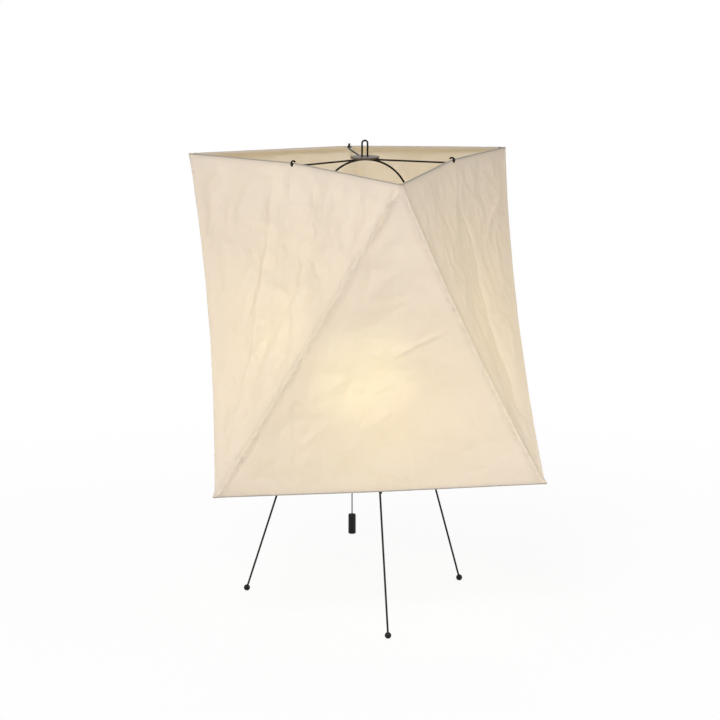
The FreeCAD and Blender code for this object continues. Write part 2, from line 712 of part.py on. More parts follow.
def paper_panel(label, angle, point_up):
    outer = fold_lines(point_up, 0.0)
    inner = fold_lines(point_up, s.paper_thickness)
    faces = [Part.makeRuledSurface(outer[0], inner[0]), Part.makeRuledSurface(outer[2], inner[2])]
    for left in (0, 1):
        faces.append(Part.makeRuledSurface(outer[left], outer[left + 1]))
        faces.append(Part.makeRuledSurface(inner[left], inner[left + 1]))
        for last in (False, True):
            faces.append(edge_strip(outer[left:left + 2], inner[left:left + 2], last))
    shell = Part.makeShell(faces)
    shell.sewShape()
    solid = Part.makeSolid(shell)
    if solid.Volume < 0:
        solid.reverse()
    if not point_up:
        width = float(s.notch_width)
        depth = float(s.notch_depth)
        reach = float(paper_inner) - float(s.hook_pull)
        corner = Vector(reach - depth, -width / 2, float(paper_top_middle) - depth)
        solid = solid.cut(Part.makeBox(2 * depth, width, 2 * depth, corner))
    piece = doc.addObject("Part::Feature", label)
    piece.Shape = solid
    piece.Placement = turn_to(angle)
    return keep(piece, label)


for name, angle in TOP_CORNERS.items():
    paper_panel(f"paper_up_{name}", angle, True)
for name, angle in BOTTOM_CORNERS.items():
    paper_panel(f"paper_down_{name}", angle, False)


# Lampholder
holder_bore = s.holder_radius - s.holder_wall
cap_hole = s.nipple_radius + s.fit_gap
keep(turned("holder_cap", [
    (cap_hole, hub_top),
    (s.holder_radius - s.cap_corner, hub_top, s.cap_corner, RIGHT),
    (s.holder_radius, hub_top + s.cap_corner),
    (s.holder_radius, cap_top),
    (holder_bore, cap_top),
    (holder_bore, hub_top + s.cap_corner, s.cap_corner - s.holder_wall, LEFT),
    (s.holder_radius - s.cap_corner, hub_top + s.holder_wall),
    (cap_hole, hub_top + s.holder_wall),
]), "holder_cap")
shell_top = shell_base + s.shell_height
mouth = holder_bore - s.shell_lip
keep(turned("holder_shell", [
    (holder_bore, shell_base),
    (s.holder_radius, shell_base),
    (s.holder_radius, shell_top - s.holder_wall, s.holder_wall, RIGHT),
    (s.holder_radius - s.holder_wall, shell_top),
    (mouth, shell_top),
    (mouth, shell_top - s.holder_wall),
    (holder_bore, shell_top - s.holder_wall),
]), "holder_shell")


def terminal_place(side):
    """Terminal screws stand beside the cap nut's corners."""
    reach = float(s.nut_width) / SQRT3 + float(s.terminal_head) + float(s.seat_gap)
    return Placement(Vector(side * reach, 0, float(insert_base)), Rotation())


def holder_insert():
    """Insulating block between cap and shell, with blind holes for the terminal screws."""
    blank = turned("insert_blank", [
        (0, insert_base),
        (holder_bore - s.seat_gap, insert_base),
        (holder_bore - s.seat_gap, insert_top),
        (0, insert_top),
    ])
    holes = []
    for side in (-1, 1):
        depth = s.terminal_length + s.fit_gap
        hole = cylinder(f"terminal_hole_{side + 1}", s.terminal_shank + s.fit_gap, depth)
        hole.Placement = terminal_place(side)
        holes.append(hole)
    drilled = doc.addObject("Part::MultiFuse", "terminal_holes")
    drilled.Shapes = holes
    block = doc.addObject("Part::Cut", "holder_insert")
    block.Base = blank
    block.Tool = drilled
    return keep(block, "holder_insert")


def terminal_screws():
    screws = []
    for side in (-1, 1):
        place = terminal_place(side)
        screws.append(turned(f"terminal_screw_{side + 1}", [
            (0, ZERO - s.terminal_head_height - s.fit_gap),
            (s.terminal_head, ZERO - s.terminal_head_height - s.fit_gap),
            (s.terminal_head, ZERO - s.fit_gap),
            (s.terminal_shank, ZERO - s.fit_gap),
            (s.terminal_shank, s.terminal_length),
            (0, s.terminal_length),
        ], place))
    pair = doc.addObject("Part::Compound", "terminal_screws")
    pair.Links = screws
    return keep(pair, "terminal_screws")


def centre_contact():
    """Springy strip that lies on the insert and rises to meet the bulb."""
    body = doc.addObject("PartDesign::Body", "centre_contact")
    sketch = new_sketch(body, "contact_side", "XZ_Plane")
    half = s.contact_length / 2
    tip = insert_top + s.contact_rise
    corners = [
        (half, insert_top),
        (half, insert_top + s.contact_strip),
        (half / 2, insert_top + s.contact_strip),
        (half / 4, tip),
        (ZERO, tip),
        (ZERO, tip - s.contact_strip),
        (half / 4 - s.contact_strip / 2, tip - s.contact_strip),
        (half / 2 - s.contact_strip / 2, insert_top),
    ]
    count = len(corners)
    for index in range(count):
        sketch.addGeometry(line(corners[index], corners[(index + 1) % count]), False)
    for index, corner in enumerate(corners):
        tie(sketch, "Coincident", (index - 1) % count, 2, index, 1)
        pin_point(sketch, index, 1, *corner)
    pad = body.newObject("PartDesign::Pad", "contact_pad")
    pad.Profile = sketch
    pad.Midplane = True
    bind(pad, Length=s.contact_width)
    return keep(body, "centre_contact")


def switch_housing():
    """Closed tube beside the lampholder, on a short neck, with a hole below for the plunger."""
    outer = cylinder("housing_tube", s.housing_radius, s.housing_height)
    chamber = cylinder("housing_chamber", s.housing_bore, s.housing_height - s.housing_floor * 2)
    hole = cylinder("housing_hole", s.plunger_radius + s.running_gap, s.housing_floor)
    neck = cylinder("housing_neck", s.neck_radius, s.pull_reach - s.housing_bore)
    seat = cylinder("housing_seat", s.holder_radius + s.fit_gap, s.housing_height * 2)
    spot = turn_to(float(s.pull_angle))
    reach = float(s.pull_reach)
    neck_level = (float(shell_base) + float(housing_top)) / 2
    outer.Placement = spot.multiply(Placement(Vector(reach, 0, float(housing_base)), Rotation()))
    floor_level = float(housing_base) + float(s.housing_floor)
    chamber.Placement = spot.multiply(Placement(Vector(reach, 0, floor_level), Rotation()))
    hole.Placement = outer.Placement
    neck.Placement = spot.multiply(Placement(Vector(0, 0, neck_level), Rotation(Vector(0, 1, 0), 90)))
    seat.Placement = Placement(Vector(0, 0, float(housing_base) - float(s.housing_height) / 2), Rotation())
    solid = doc.addObject("Part::MultiFuse", "housing_solid")
    solid.Shapes = [outer, neck]
    hollow = doc.addObject("Part::MultiFuse", "housing_hollow")
    hollow.Shapes = [chamber, hole, seat]
    housing = doc.addObject("Part::Cut", "switch_housing")
    housing.Base = solid
    housing.Tool = hollow
    return keep(housing, "switch_housing")


screw_outer = s.screw_shell_radius + s.screw_shell_wall
keep(turned("screw_shell", tube_outline(
    s.screw_shell_radius, screw_outer, insert_top, insert_top + s.screw_shell_height)), "screw_shell")
holder_insert()
terminal_screws()
centre_contact()
switch_housing()

# Pull switch: plunger, cord and weight on one upright line
pull_line = turn_to(float(s.pull_angle)).multiply(Placement(Vector(float(s.pull_reach), 0, 0), Rotation()))
head_base = housing_base + s.housing_floor + s.pull_stroke + s.seat_gap
ferrule_base = ferrule_top - s.ferrule_height
keep(turned("pull_plunger", [
    (0, ferrule_base),
    (s.plunger_ferrule, ferrule_base),
    (s.plunger_ferrule, ferrule_top),
    (s.plunger_radius, ferrule_top),
    (s.plunger_radius, head_base),
    (s.plunger_head, head_base),
    (s.plunger_head, head_base + s.plunger_head_height),
    (0, head_base + s.plunger_head_height),
], pull_line), "pull_plunger")
cord_base = weight_top - s.weight_grip
cord = cylinder("pull_cord", s.cord_radius, cord_top - cord_base)
cord.Placement = pull_line.multiply(Placement(Vector(0, 0, float(cord_base)), Rotation()))
keep(cord, "pull_cord")
grip = s.cord_radius + s.fit_gap
weight_side = s.weight_radius - s.weight_round
keep(turned("pull_weight", [
    (0, s.weight_base),
    (weight_side, s.weight_base, s.weight_round, RIGHT),
    (s.weight_radius, s.weight_base + s.weight_round),
    (s.weight_radius, weight_top - s.weight_round, s.weight_round, RIGHT),
    (weight_side, weight_top),
    (grip, weight_top),
    (grip, cord_base - s.fit_gap),
    (0, cord_base - s.fit_gap),
], pull_line), "pull_weight")

# Bulb
cap_base = bulb_base + s.bulb_tip_height
bulb_cap_top = cap_base + s.bulb_cap_height
neck_base = bulb_cap_top - s.bulb_cap_height / 4
tip_split = bulb_base + s.bulb_tip_height / 2
globe_cos = math.cos(math.radians(float(s.globe_angle)))
globe_sin = math.sin(math.radians(float(s.globe_angle)))
glass_inner = s.bulb_radius - s.bulb_glass
neck_inner = s.bulb_neck - s.bulb_glass
keep(turned("bulb_glass", [
    (s.bulb_neck, neck_base),
    (s.bulb_neck, bulb_cap_top, s.bulb_curve, LEFT),
    (s.bulb_radius * globe_cos, globe_middle - s.bulb_radius * globe_sin, s.bulb_radius, RIGHT),
    (0, bulb_crown),
    (0, bulb_crown - s.bulb_glass, glass_inner, LEFT),
    (glass_inner * globe_cos, globe_middle - glass_inner * globe_sin, s.bulb_curve + s.bulb_glass, RIGHT),
    (neck_inner, bulb_cap_top),
    (neck_inner, neck_base),
]), "bulb_glass")
cap_bore = s.bulb_cap_radius - s.bulb_cap_wall
keep(turned("bulb_cap", tube_outline(cap_bore, s.bulb_cap_radius, cap_base, bulb_cap_top)), "bulb_cap")
keep(turned("bulb_insulator", [
    (0, tip_split),
    (s.bulb_tip_radius, tip_split),
    (cap_bore - s.fit_gap, cap_base),
    (cap_bore - s.fit_gap, cap_base + s.bulb_tip_height),
    (0, cap_base + s.bulb_tip_height),
]), "bulb_insulator")
keep(turned("bulb_contact", [
    (0, bulb_base),
    (s.bulb_tip_radius / 2, bulb_base),
    (s.bulb_tip_radius, tip_split),
    (0, tip_split),
]), "bulb_contact")
stem_top = neck_base + s.stem_height
keep(turned("bulb_stem", [
    (0, neck_base),
    (neck_inner - s.fit_gap, neck_base),
    (s.stem_radius, neck_base + s.stem_flare),
    (s.stem_radius, stem_top),
    (0, stem_top),
]), "bulb_stem")


def filament():
    """Open ring of fine coil on two wires that stand on the stem."""
    ring_angle = 300.0
    ring = doc.addObject("Part::Torus", "filament_ring")
    bind(ring, Radius1=s.filament_radius, Radius2=s.filament_wire / 2)
    ring.setExpression("Placement.Base.z", globe_middle.formula)
    ring.Angle3 = ring_angle
    wires = [ring]
    for angle in (0.0, ring_angle):
        start = around(s.stem_radius / 2, angle, stem_top + s.filament_wire / 2)
        end = around(s.filament_radius, angle, globe_middle)
        wire = doc.addObject("Part::Cylinder", f"filament_wire_{angle:.0f}")
        bind(wire, Radius=s.filament_wire / 2)
        wire.Height = (end - start).Length
        wire.Placement = Placement(start, Rotation(Vector(0, 0, 1), end - start))
        wires.append(wire)
    joined = doc.addObject("Part::MultiFuse", "bulb_filament")
    joined.Shapes = wires
    return keep(joined, "bulb_filament")


filament()

# Build everything, check it, then write one file for each sub-part
doc.recompute()
for piece in doc.Objects:
    if {"Invalid", "Error"} & set(piece.State):
        raise RuntimeError(f"{piece.Label} failed: {piece.State}")
for piece in nodes:
    if piece.Shape.isNull() or not piece.Shape.isValid() or piece.Shape.Volume <= 0:
        raise RuntimeError(f"{piece.Label} has no valid solid")
os.makedirs("parts", exist_ok=True)
for piece in nodes:
    piece.Shape.exportStep(f"parts/{piece.Label}.step")
print(f"{len(nodes)} sub-parts written")
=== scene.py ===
# %% [markdown]
# # A paper table lamp
# The lamp is one paper tube stretched between two wire triangles. The upper triangle is turned by
# 60 degrees against the lower one, so the tube folds into six leaning panels. A wire harp carries the
# shade over a bulb, and three thin legs with ball feet carry the harp.
# The solids come from the measured frame. This lesson gives them their finishes and makes the paper.

# %% Load the measured frame
import math

import bmesh
import bpy
import numpy as np
from mathutils import Matrix, Vector


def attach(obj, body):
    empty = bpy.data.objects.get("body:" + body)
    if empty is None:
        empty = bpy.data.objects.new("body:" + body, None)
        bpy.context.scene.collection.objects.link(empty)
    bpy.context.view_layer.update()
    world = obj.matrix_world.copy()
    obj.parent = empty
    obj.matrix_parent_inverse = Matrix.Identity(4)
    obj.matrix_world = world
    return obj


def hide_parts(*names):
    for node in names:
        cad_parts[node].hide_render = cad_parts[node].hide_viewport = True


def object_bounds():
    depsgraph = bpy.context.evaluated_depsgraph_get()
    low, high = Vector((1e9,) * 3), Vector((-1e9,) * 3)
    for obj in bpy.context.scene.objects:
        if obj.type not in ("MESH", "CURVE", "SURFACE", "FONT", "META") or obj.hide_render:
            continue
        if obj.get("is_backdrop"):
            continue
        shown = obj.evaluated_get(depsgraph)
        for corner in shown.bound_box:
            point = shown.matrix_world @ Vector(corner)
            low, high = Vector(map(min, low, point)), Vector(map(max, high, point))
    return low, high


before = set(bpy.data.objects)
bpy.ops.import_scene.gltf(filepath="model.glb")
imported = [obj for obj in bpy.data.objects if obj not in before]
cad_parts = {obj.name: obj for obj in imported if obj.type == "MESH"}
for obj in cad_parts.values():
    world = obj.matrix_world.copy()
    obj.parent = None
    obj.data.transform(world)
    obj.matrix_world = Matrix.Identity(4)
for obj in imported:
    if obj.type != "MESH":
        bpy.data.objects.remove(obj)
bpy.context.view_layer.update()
scene = bpy.context.scene
scene.view_settings.view_transform = "Standard"
MM = 0.001

# %% [markdown]
# ## Camera
# The photograph was taken from far away with a long lens, a little above the shade's middle and about
# ten degrees round to the left. A long lens keeps the two triangles almost parallel, so the camera
# stands more than three metres off instead of close by with a wide lens.

# %% Stand the camera
LENS, SENSOR = 135.87, 36.0
CAMERA_PLACE = (-0.5753, -3.2291, 0.9409)
CAMERA_TILT, CAMERA_TURN = 79.082, -10.0
camera_data = bpy.data.cameras.new("camera")
camera_data.lens = LENS
camera_data.sensor_width = SENSOR
camera = bpy.data.objects.new("camera", camera_data)
camera.location = CAMERA_PLACE
camera.rotation_euler = (math.radians(CAMERA_TILT), 0.0, math.radians(CAMERA_TURN))
scene.collection.objects.link(camera)
scene.camera = camera
print("camera", round(Vector(camera.location).length, 2), "m from the floor under the lamp")

# %% [markdown]
# ## Helpers
# Every piece is a mesh whose place is in its points, so its object stays at the origin. Node trees are
# built in the script: one call adds a node, sets its inputs and joins what feeds it.


# %% Make a piece from points, edges and faces
def new_piece(name, points, edges=(), faces=()):
    mesh = bpy.data.meshes.new(name)
    mesh.from_pydata([tuple(point) for point in points], list(edges), list(faces))
    mesh.update()
    piece = bpy.data.objects.new(name, mesh)
    scene.collection.objects.link(piece)
    return piece


def store(piece, name, kind, values):
    """Keep one number for each point of a piece."""
    piece.data.attributes.new(name, kind, "POINT").data.foreach_set("value", values)


# %% Add a node and feed it
def add(tree, kind, feeds=None, **settings):
    """Add a node; feeds gives numbers or other nodes' outputs for its inputs, by name or position."""
    node = tree.nodes.new(kind)
    for name, value in settings.items():
        setattr(node, name, value)
    for name, value in (feeds or {}).items():
        if isinstance(value, bpy.types.NodeSocket):
            tree.links.new(value, node.inputs[name])
        else:
            node.inputs[name].default_value = value
    return node


def maths(tree, operation, first, second=0.0):
    return add(tree, "ShaderNodeMath", {0: first, 1: second}, operation=operation).outputs[0]


def vectors(tree, operation, first, second):
    return add(tree, "ShaderNodeVectorMath", {0: first, 1: second}, operation=operation).outputs[0]


def scaled(tree, vector, factor):
    return add(tree, "ShaderNodeVectorMath", {0: vector, "Scale": factor}, operation="SCALE").outputs[0]


# %% Start a geometry tree and use it
def new_tree(name, inputs):
    """Tree with named inputs, each with its kind and usual value; gives the tree and its inputs."""
    tree = bpy.data.node_groups.new(name, "GeometryNodeTree")
    for label, (kind, value) in inputs.items():
        socket = tree.interface.new_socket(name=label, in_out="INPUT", socket_type=f"NodeSocket{kind}")
        if value is not None:
            socket.default_value = value
    tree.interface.new_socket(name="Geometry", in_out="OUTPUT", socket_type="NodeSocketGeometry")
    return tree, add(tree, "NodeGroupInput").outputs


def finish_tree(tree, geometry, finish):
    """End a tree in smooth, real faces with one finish."""
    smooth = add(tree, "GeometryNodeSetShadeSmooth", {"Geometry": geometry}).outputs[0]
    real = add(tree, "GeometryNodeRealizeInstances", {"Geometry": smooth}).outputs[0]
    coated = add(tree, "GeometryNodeSetMaterial", {"Geometry": real, "Material": finish}).outputs[0]
    add(tree, "NodeGroupOutput", {"Geometry": coated})


def plain(name, base):
    """Keep what an object shows as a plain mesh, and remove the object."""
    bpy.context.view_layer.update()
    seen = base.evaluated_get(bpy.context.evaluated_depsgraph_get())
    mesh = bpy.data.meshes.new_from_object(seen)
    mesh.name = name
    piece = bpy.data.objects.new(name, mesh)
    scene.collection.objects.link(piece)
    bpy.data.objects.remove(base)
    print(name, "has", len(mesh.polygons), "faces")
    return piece


def grown(name, tree, values, start=None):
    """Run a tree on a start piece with these inputs."""
    base = start or new_piece(name + "_start", [])
    step = base.modifiers.new("grow", "NODES")
    step.node_group = tree
    sockets = {item.name: item.identifier for item in tree.interface.items_tree if item.in_out == "INPUT"}
    for label, value in values.items():
        step[sockets[label]] = value
    return plain(name, base)


def place_piece(piece, body):
    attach(piece, body)


# %% Start a finish
def new_finish(name):
    finish = bpy.data.materials.new(name)
    finish.use_nodes = True
    finish.node_tree.nodes.clear()
    return finish, finish.node_tree


def show(tree, shader):
    add(tree, "ShaderNodeOutputMaterial", {"Surface": shader})


# %% Patterns of the finishes
def own_place(tree):
    """Place on the piece, in metres."""
    return add(tree, "ShaderNodeTexCoord").outputs["Object"]


def noise(tree, place, scale, **more):
    """Soft noise; more can give its detail, roughness and distortion."""
    feeds = {"Vector": place, "Scale": scale}
    feeds.update({name.capitalize(): value for name, value in more.items()})
    return add(tree, "ShaderNodeTexNoise", feeds).outputs[0]


def stretched(tree, value, low, high, at_low, at_high, **settings):
    """Number that goes from at_low to at_high while the value goes from low to high."""
    feeds = {"Value": value, 1: low, 2: high, 3: at_low, 4: at_high}
    return add(tree, "ShaderNodeMapRange", feeds, **settings).outputs[0]


def bump(tree, strength, distance, height):
    """Direction of a surface with a fine relief."""
    feeds = {"Strength": strength, "Distance": distance, "Height": height}
    return add(tree, "ShaderNodeBump", feeds).outputs[0]


def ramp(tree, factor, low, high, low_colour, high_colour):
    """Colour that goes from one to another while the factor goes from low to high."""
    node = add(tree, "ShaderNodeValToRGB", {"Fac": factor})
    ends = node.color_ramp.elements
    ends[0].position, ends[1].position = low, high
    ends[0].color, ends[1].color = (*low_colour, 1.0), (*high_colour, 1.0)
    return node.outputs[0]


def mixed(tree, share, first, second):
    """First colour where the share is zero, second colour where it is one."""
    return add(tree, "ShaderNodeMix", {0: share, 6: first, 7: second}, data_type="RGBA").outputs[2]


def dress(finish, *names):
    """Put one finish on solids of the frame."""
    for name in names:
        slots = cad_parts[name].data.materials
        slots.clear()
        slots.append(finish)
    print(finish.name, "on", ", ".join(names))


# %% [markdown]
# ## Pull cord
# A short limp cord hangs from the switch beside the lampholder and carries a small black weight. A
# hanging cord with a weight is straight, so its line needs only its ends and one point between them.
# It is a curve with a round section, and the weight stays the solid of the frame.

# %% Hang the pull cord
CORD_ROUTE = (
    (-0.01957, -0.02099, 0.1834),
    (-0.01957, -0.02099, 0.1500),
    (-0.01957, -0.02099, 0.1135),
)
CORD_THICK = 1.4 * MM
cord_curve = bpy.data.curves.new("pull_cord_line", "CURVE")
cord_curve.dimensions = "3D"
cord_line = cord_curve.splines.new("NURBS")
cord_line.points.add(len(CORD_ROUTE) - 1)
for point, place in zip(cord_line.points, CORD_ROUTE):
    point.co = (*place, 1.0)
cord_line.order_u = 3
cord_line.use_endpoint_u = True
cord_curve.bevel_depth = CORD_THICK / 2
cord_curve.bevel_resolution = 3
cord_curve.use_fill_caps = True
cord_start = bpy.data.objects.new("pull_cord_start", cord_curve)
scene.collection.objects.link(cord_start)
pull_cord = plain("pull_cord_braid", cord_start)

# %% [markdown]
# ## Paper shade: the flat sheet
# Unrolled, the six panels make one plain strip of triangles that point up and down in turn. Each
# triangle is divided into rows that grow by one point each, so that the folds are real mesh edges.
# The strip also serves as the sheet's own map in metres, because paper fibres follow the sheet.

# %% Sizes of the shade
RIM_SIDE = 400.0
HEM_RADIUS = 1.5
CORNER_FOLD = 3.0
SHEET_HEIGHT = 398.0
ROWS = 155
INRADIUS = RIM_SIDE / (2 * math.sqrt(3)) + HEM_RADIUS
WIDE_HALF = INRADIUS * math.sqrt(3) - CORNER_FOLD
TIP_REACH = 2 * INRADIUS - CORNER_FOLD * math.cos(math.radians(30))
PANEL_STEP = WIDE_HALF + CORNER_FOLD / 2
PANELS = {
    "up_front": -90.0,
    "down_right": -30.0,
    "up_right": 30.0,
    "down_back": 90.0,
    "up_left": 150.0,
    "down_left": 210.0,
}
print("panels are", round(PANEL_STEP, 1), "mm apart on the flat sheet")


# %% Lay out one panel as growing rows
def panel_grid(index, point_up):
    """Places on the flat strip, faces, and shares across and up for one panel, narrow end first."""
    grid = [(row, column) for row in range(ROWS + 1) for column in range(row + 2)]
    row, column = np.array(grid).T
    across = column / (row + 1)
    up = 1 - row / ROWS if point_up else row / ROWS
    width = CORNER_FOLD + (2 * WIDE_HALF - CORNER_FOLD) * row / ROWS
    along = index * PANEL_STEP + (across - 0.5) * width
    flat = np.stack([along, up * SHEET_HEIGHT, 0 * up], axis=1) * MM
    first = np.cumsum([0] + [number + 2 for number in range(ROWS)])
    faces = []
    for here, below, count in zip(first[:-1], first[1:], range(2, ROWS + 2)):
        faces += [(here + place, below + place, below + place + 1) for place in range(count)]
        faces += [(here + place, below + place + 1, here + place + 1) for place in range(count - 1)]
    if not point_up:
        faces = [face[::-1] for face in faces]
    return flat, np.array(faces), across, up


# %% Join the panels into one strip
strip_points, strip_faces, strip_across, strip_up, strip_panel = [], [], [], [], []
for index, name in enumerate(PANELS):
    flat, faces, across, up = panel_grid(index, name.startswith("up"))
    strip_faces += (faces + sum(len(block) for block in strip_points)).tolist()
    strip_points.append(flat)
    strip_across.append(across)
    strip_up.append(up)
    strip_panel.append(np.full(len(flat), index))
strip_places = np.concatenate(strip_points)
strip = new_piece("flat_paper", strip_places, faces=strip_faces)
up = np.concatenate(strip_up)
across = np.concatenate(strip_across)
panel = np.concatenate(strip_panel)
print("flat strip:", len(strip_places), "points,", round(len(PANELS) * PANEL_STEP), "mm long")

# %% How free and how worn each point is
RIM_HOLD, SEAM_HOLD = 0.05, 0.04
SLACK_REACH, SLACK_LEAST = 35.0, 0.12
PANEL_SLACK = {"up_front": 0.8, "down_left": 1.5}
WORN_REACH = 6.0
seam_gap = np.where(panel == 0, across, np.where(panel == len(PANELS) - 1, 1 - across, 1.0))
rim_gap = np.minimum(up, 1 - up)
freedom = np.clip(rim_gap / RIM_HOLD, 0, 1) * np.clip(seam_gap / SEAM_HOLD, 0, 1)
wide_share = np.where(panel % 2 == 0, 1 - up, up)
fold_gap = np.minimum(across, 1 - across) * wide_share * 2 * WIDE_HALF
panel_slack = np.array([PANEL_SLACK.get(name, 1.0) for name in PANELS])[panel]
store(strip, "across", "FLOAT", across)
store(strip, "up", "FLOAT", up)
store(strip, "panel", "INT", panel)
store(strip, "freedom", "FLOAT", freedom)
store(strip, "slack", "FLOAT", np.clip(fold_gap / SLACK_REACH, SLACK_LEAST, 1) * panel_slack)
store(strip, "worn", "FLOAT", np.exp(-(fold_gap / WORN_REACH) ** 2))
print("paper is worn within", WORN_REACH, "mm of its folds")

# %% Map the sheet and weld its panels
PANEL_WELD = 0.01 * MM
sheet_map = strip.data.uv_layers.new(name="sheet")
corners = np.zeros(len(strip.data.loops), dtype=np.int32)
strip.data.loops.foreach_get("vertex_index", corners)
sheet_map.data.foreach_set("uv", strip_places[corners, :2].astype(np.float32).ravel())
welded = bmesh.new()
welded.from_mesh(strip.data)
bmesh.ops.remove_doubles(welded, verts=welded.verts, dist=PANEL_WELD)
welded.to_mesh(strip.data)
welded.free()
print("welded strip:", len(strip.data.vertices), "points")

# %% [markdown]
# ## Paper shade: the folds
# A fold runs from a corner of one rim to a corner of the other. The paper is pulled tight, so the folds
# and the middle line of each panel bow towards the axis. Each is a curve with three control points:
# its two ends, and one half way that is drawn in by twice the bow.

# %% Ends of the folds
TOP_CORNER, TOP_MIDDLE, TOP_PULL = 552.95, 558.75, 4.5
BOTTOM_CORNER, BOTTOM_MIDDLE, BOTTOM_PULL = 172.0, 170.0, 3.0
RIDGE_BOW, UP_BOW, DOWN_BOW = 9.0, 12.0, 14.0


def fold_ends(point_up, side):
    """Bottom and top of the left (-1), middle (0) or right (1) fold of a panel that faces +X."""
    narrow_height, wide_height = (TOP_CORNER, BOTTOM_CORNER) if point_up else (BOTTOM_CORNER, TOP_CORNER)
    middle_height, pull = (BOTTOM_MIDDLE, BOTTOM_PULL) if point_up else (TOP_MIDDLE, TOP_PULL)
    narrow = Vector((TIP_REACH, side * CORNER_FOLD / 2, narrow_height))
    wide = Vector((INRADIUS, side * WIDE_HALF, wide_height))
    if side == 0:
        wide = Vector((INRADIUS - pull, 0, middle_height))
    return (wide, narrow) if point_up else (narrow, wide)


# %% Draw the fold curves
fold_data = bpy.data.curves.new("fold_curves", "CURVE")
fold_data.dimensions = "3D"
fold_data.resolution_u = 48
for name, angle in PANELS.items():
    turn = Matrix.Rotation(math.radians(angle), 3, "Z")
    for side in (-1, 0, 1):
        point_up = name.startswith("up")
        bottom, top = fold_ends(point_up, side)
        middle_bow = UP_BOW if point_up else DOWN_BOW
        middle = (bottom + top) / 2
        level = Vector((middle.x, middle.y, 0)).normalized()
        pole = middle - level * 2 * (middle_bow if side == 0 else RIDGE_BOW)
        fold = fold_data.splines.new("NURBS")
        fold.points.add(2)
        for point, place in zip(fold.points, (bottom, pole, top)):
            point.co = (*(turn @ place * MM), 1.0)
        fold.order_u = 3
        fold.use_endpoint_u = True
fold_curves = bpy.data.objects.new("fold_curves", fold_data)
scene.collection.objects.link(fold_curves)
print("fold curves:", len(fold_data.splines))

# %% [markdown]
# ## Paper shade: the creases
# Handling and folding leave creases in the paper. The clear ones are drawn as lines on the flat strip,
# at places across and up a panel in millimetres, with a depth and a width. Their depth fades at both
# ends. The rest of the sheet gets a faint crumple from a pattern of bent cells.

# %% Lines of the creases
CREASES = {
    "up_front": [
        (-5.0, 7.0, [(-7, 536), (-10, 527), (-16, 506), (-27, 488), (-34, 470)]),
        (-2.2, 5.0, [(-33, 468), (-28, 445), (-31, 418)]),
        (-2.5, 4.0, [(2, 539), (11, 511), (23, 483), (35, 462)]),
        (-1.5, 2.8, [(-39, 367), (-24, 364), (4, 358)]),
        (1.5, 2.8, [(-36, 346), (-12, 341), (2, 333)]),
        (2.1, 3.2, [(2, 333), (14, 343), (31, 353), (49, 360), (74, 373)]),
        (-1.3, 3.0, [(1, 388), (8, 399), (23, 404)]),
        (1.7, 2.8, [(-20, 288), (-4, 299), (14, 305)]),
        (-1.5, 4.0, [(-53, 276), (-48, 292), (-40, 327)]),
        (1.4, 3.0, [(-67, 255), (-83, 248), (-109, 218)]),
        (-1.4, 5.0, [(-40, 452), (-56, 421), (-77, 379)]),
        (-2.1, 4.0, [(-149, 249), (-172, 208), (-186, 185)]),
    ],
    "down_left": [
        (5.4, 9.0, [(-24, 546), (-25, 509), (-21, 460), (-16, 397), (-8, 350), (-6, 306), (0, 257),
                    (8, 201)]),
        (2.0, 4.5, [(-34, 437), (-41, 409), (-38, 360)]),
        (2.8, 8.0, [(-119, 505), (-132, 476), (-138, 458)]),
        (-2.0, 8.0, [(-123, 538), (-118, 499), (-89, 454)]),
        (-2.2, 5.5, [(65, 486), (47, 476), (29, 467)]),
        (-2.8, 5.5, [(101, 485), (69, 466), (46, 446), (12, 431)]),
        (1.9, 6.0, [(129, 459), (92, 455), (62, 456)]),
        (-1.6, 4.5, [(16, 429), (17, 419), (39, 408)]),
        (-2.2, 4.5, [(31, 370), (13, 358), (-4, 343)]),
        (2.3, 6.0, [(172, 535), (150, 498), (133, 468)]),
        (-1.8, 4.0, [(-16, 229), (-11, 214), (-7, 201), (-3, 185)]),
    ],
    "down_right": [
        (-4.2, 5.0, [(9, 547), (1, 518), (10, 487), (21, 450), (13, 410), (8, 378), (15, 341),
                     (20, 290), (2, 245)]),
        (2.8, 5.0, [(150, 505), (106, 490), (74, 469), (51, 451)]),
        (-1.1, 3.0, [(-2, 476), (-7, 459)]),
        (-1.5, 4.0, [(-44, 446), (-29, 420), (-24, 389)]),
        (1.8, 6.0, [(61, 382), (57, 347), (39, 307)]),
        (-1.4, 3.0, [(-15, 221), (1, 201)]),
        (1.4, 5.0, [(-107, 482), (-100, 452), (-81, 417)]),
    ],
    "up_right": [
        (-2.5, 4.0, [(-6, 530), (-18, 490), (-28, 440), (-12, 380)]),
        (2.0, 3.2, [(-60, 330), (-20, 348), (30, 340), (62, 362)]),
        (-1.7, 4.0, [(70, 250), (40, 290), (34, 330)]),
        (1.4, 3.0, [(-90, 240), (-70, 262), (-40, 270)]),
    ],
    "down_back": [
        (-4.2, 5.0, [(4, 545), (10, 500), (2, 430), (8, 360), (0, 290), (4, 230)]),
        (1.8, 4.0, [(-90, 480), (-50, 462), (-22, 470)]),
        (1.7, 3.5, [(30, 420), (62, 440), (96, 436)]),
        (-1.7, 5.0, [(120, 520), (134, 486), (126, 462)]),
    ],
    "up_left": [
        (-2.5, 4.0, [(4, 532), (14, 500), (24, 452), (10, 400)]),
        (2.0, 3.2, [(-70, 300), (-30, 322), (18, 316)]),
        (-1.7, 4.0, [(52, 240), (74, 270), (70, 306)]),
        (1.4, 3.0, [(20, 360), (44, 372), (58, 366)]),
    ],
}

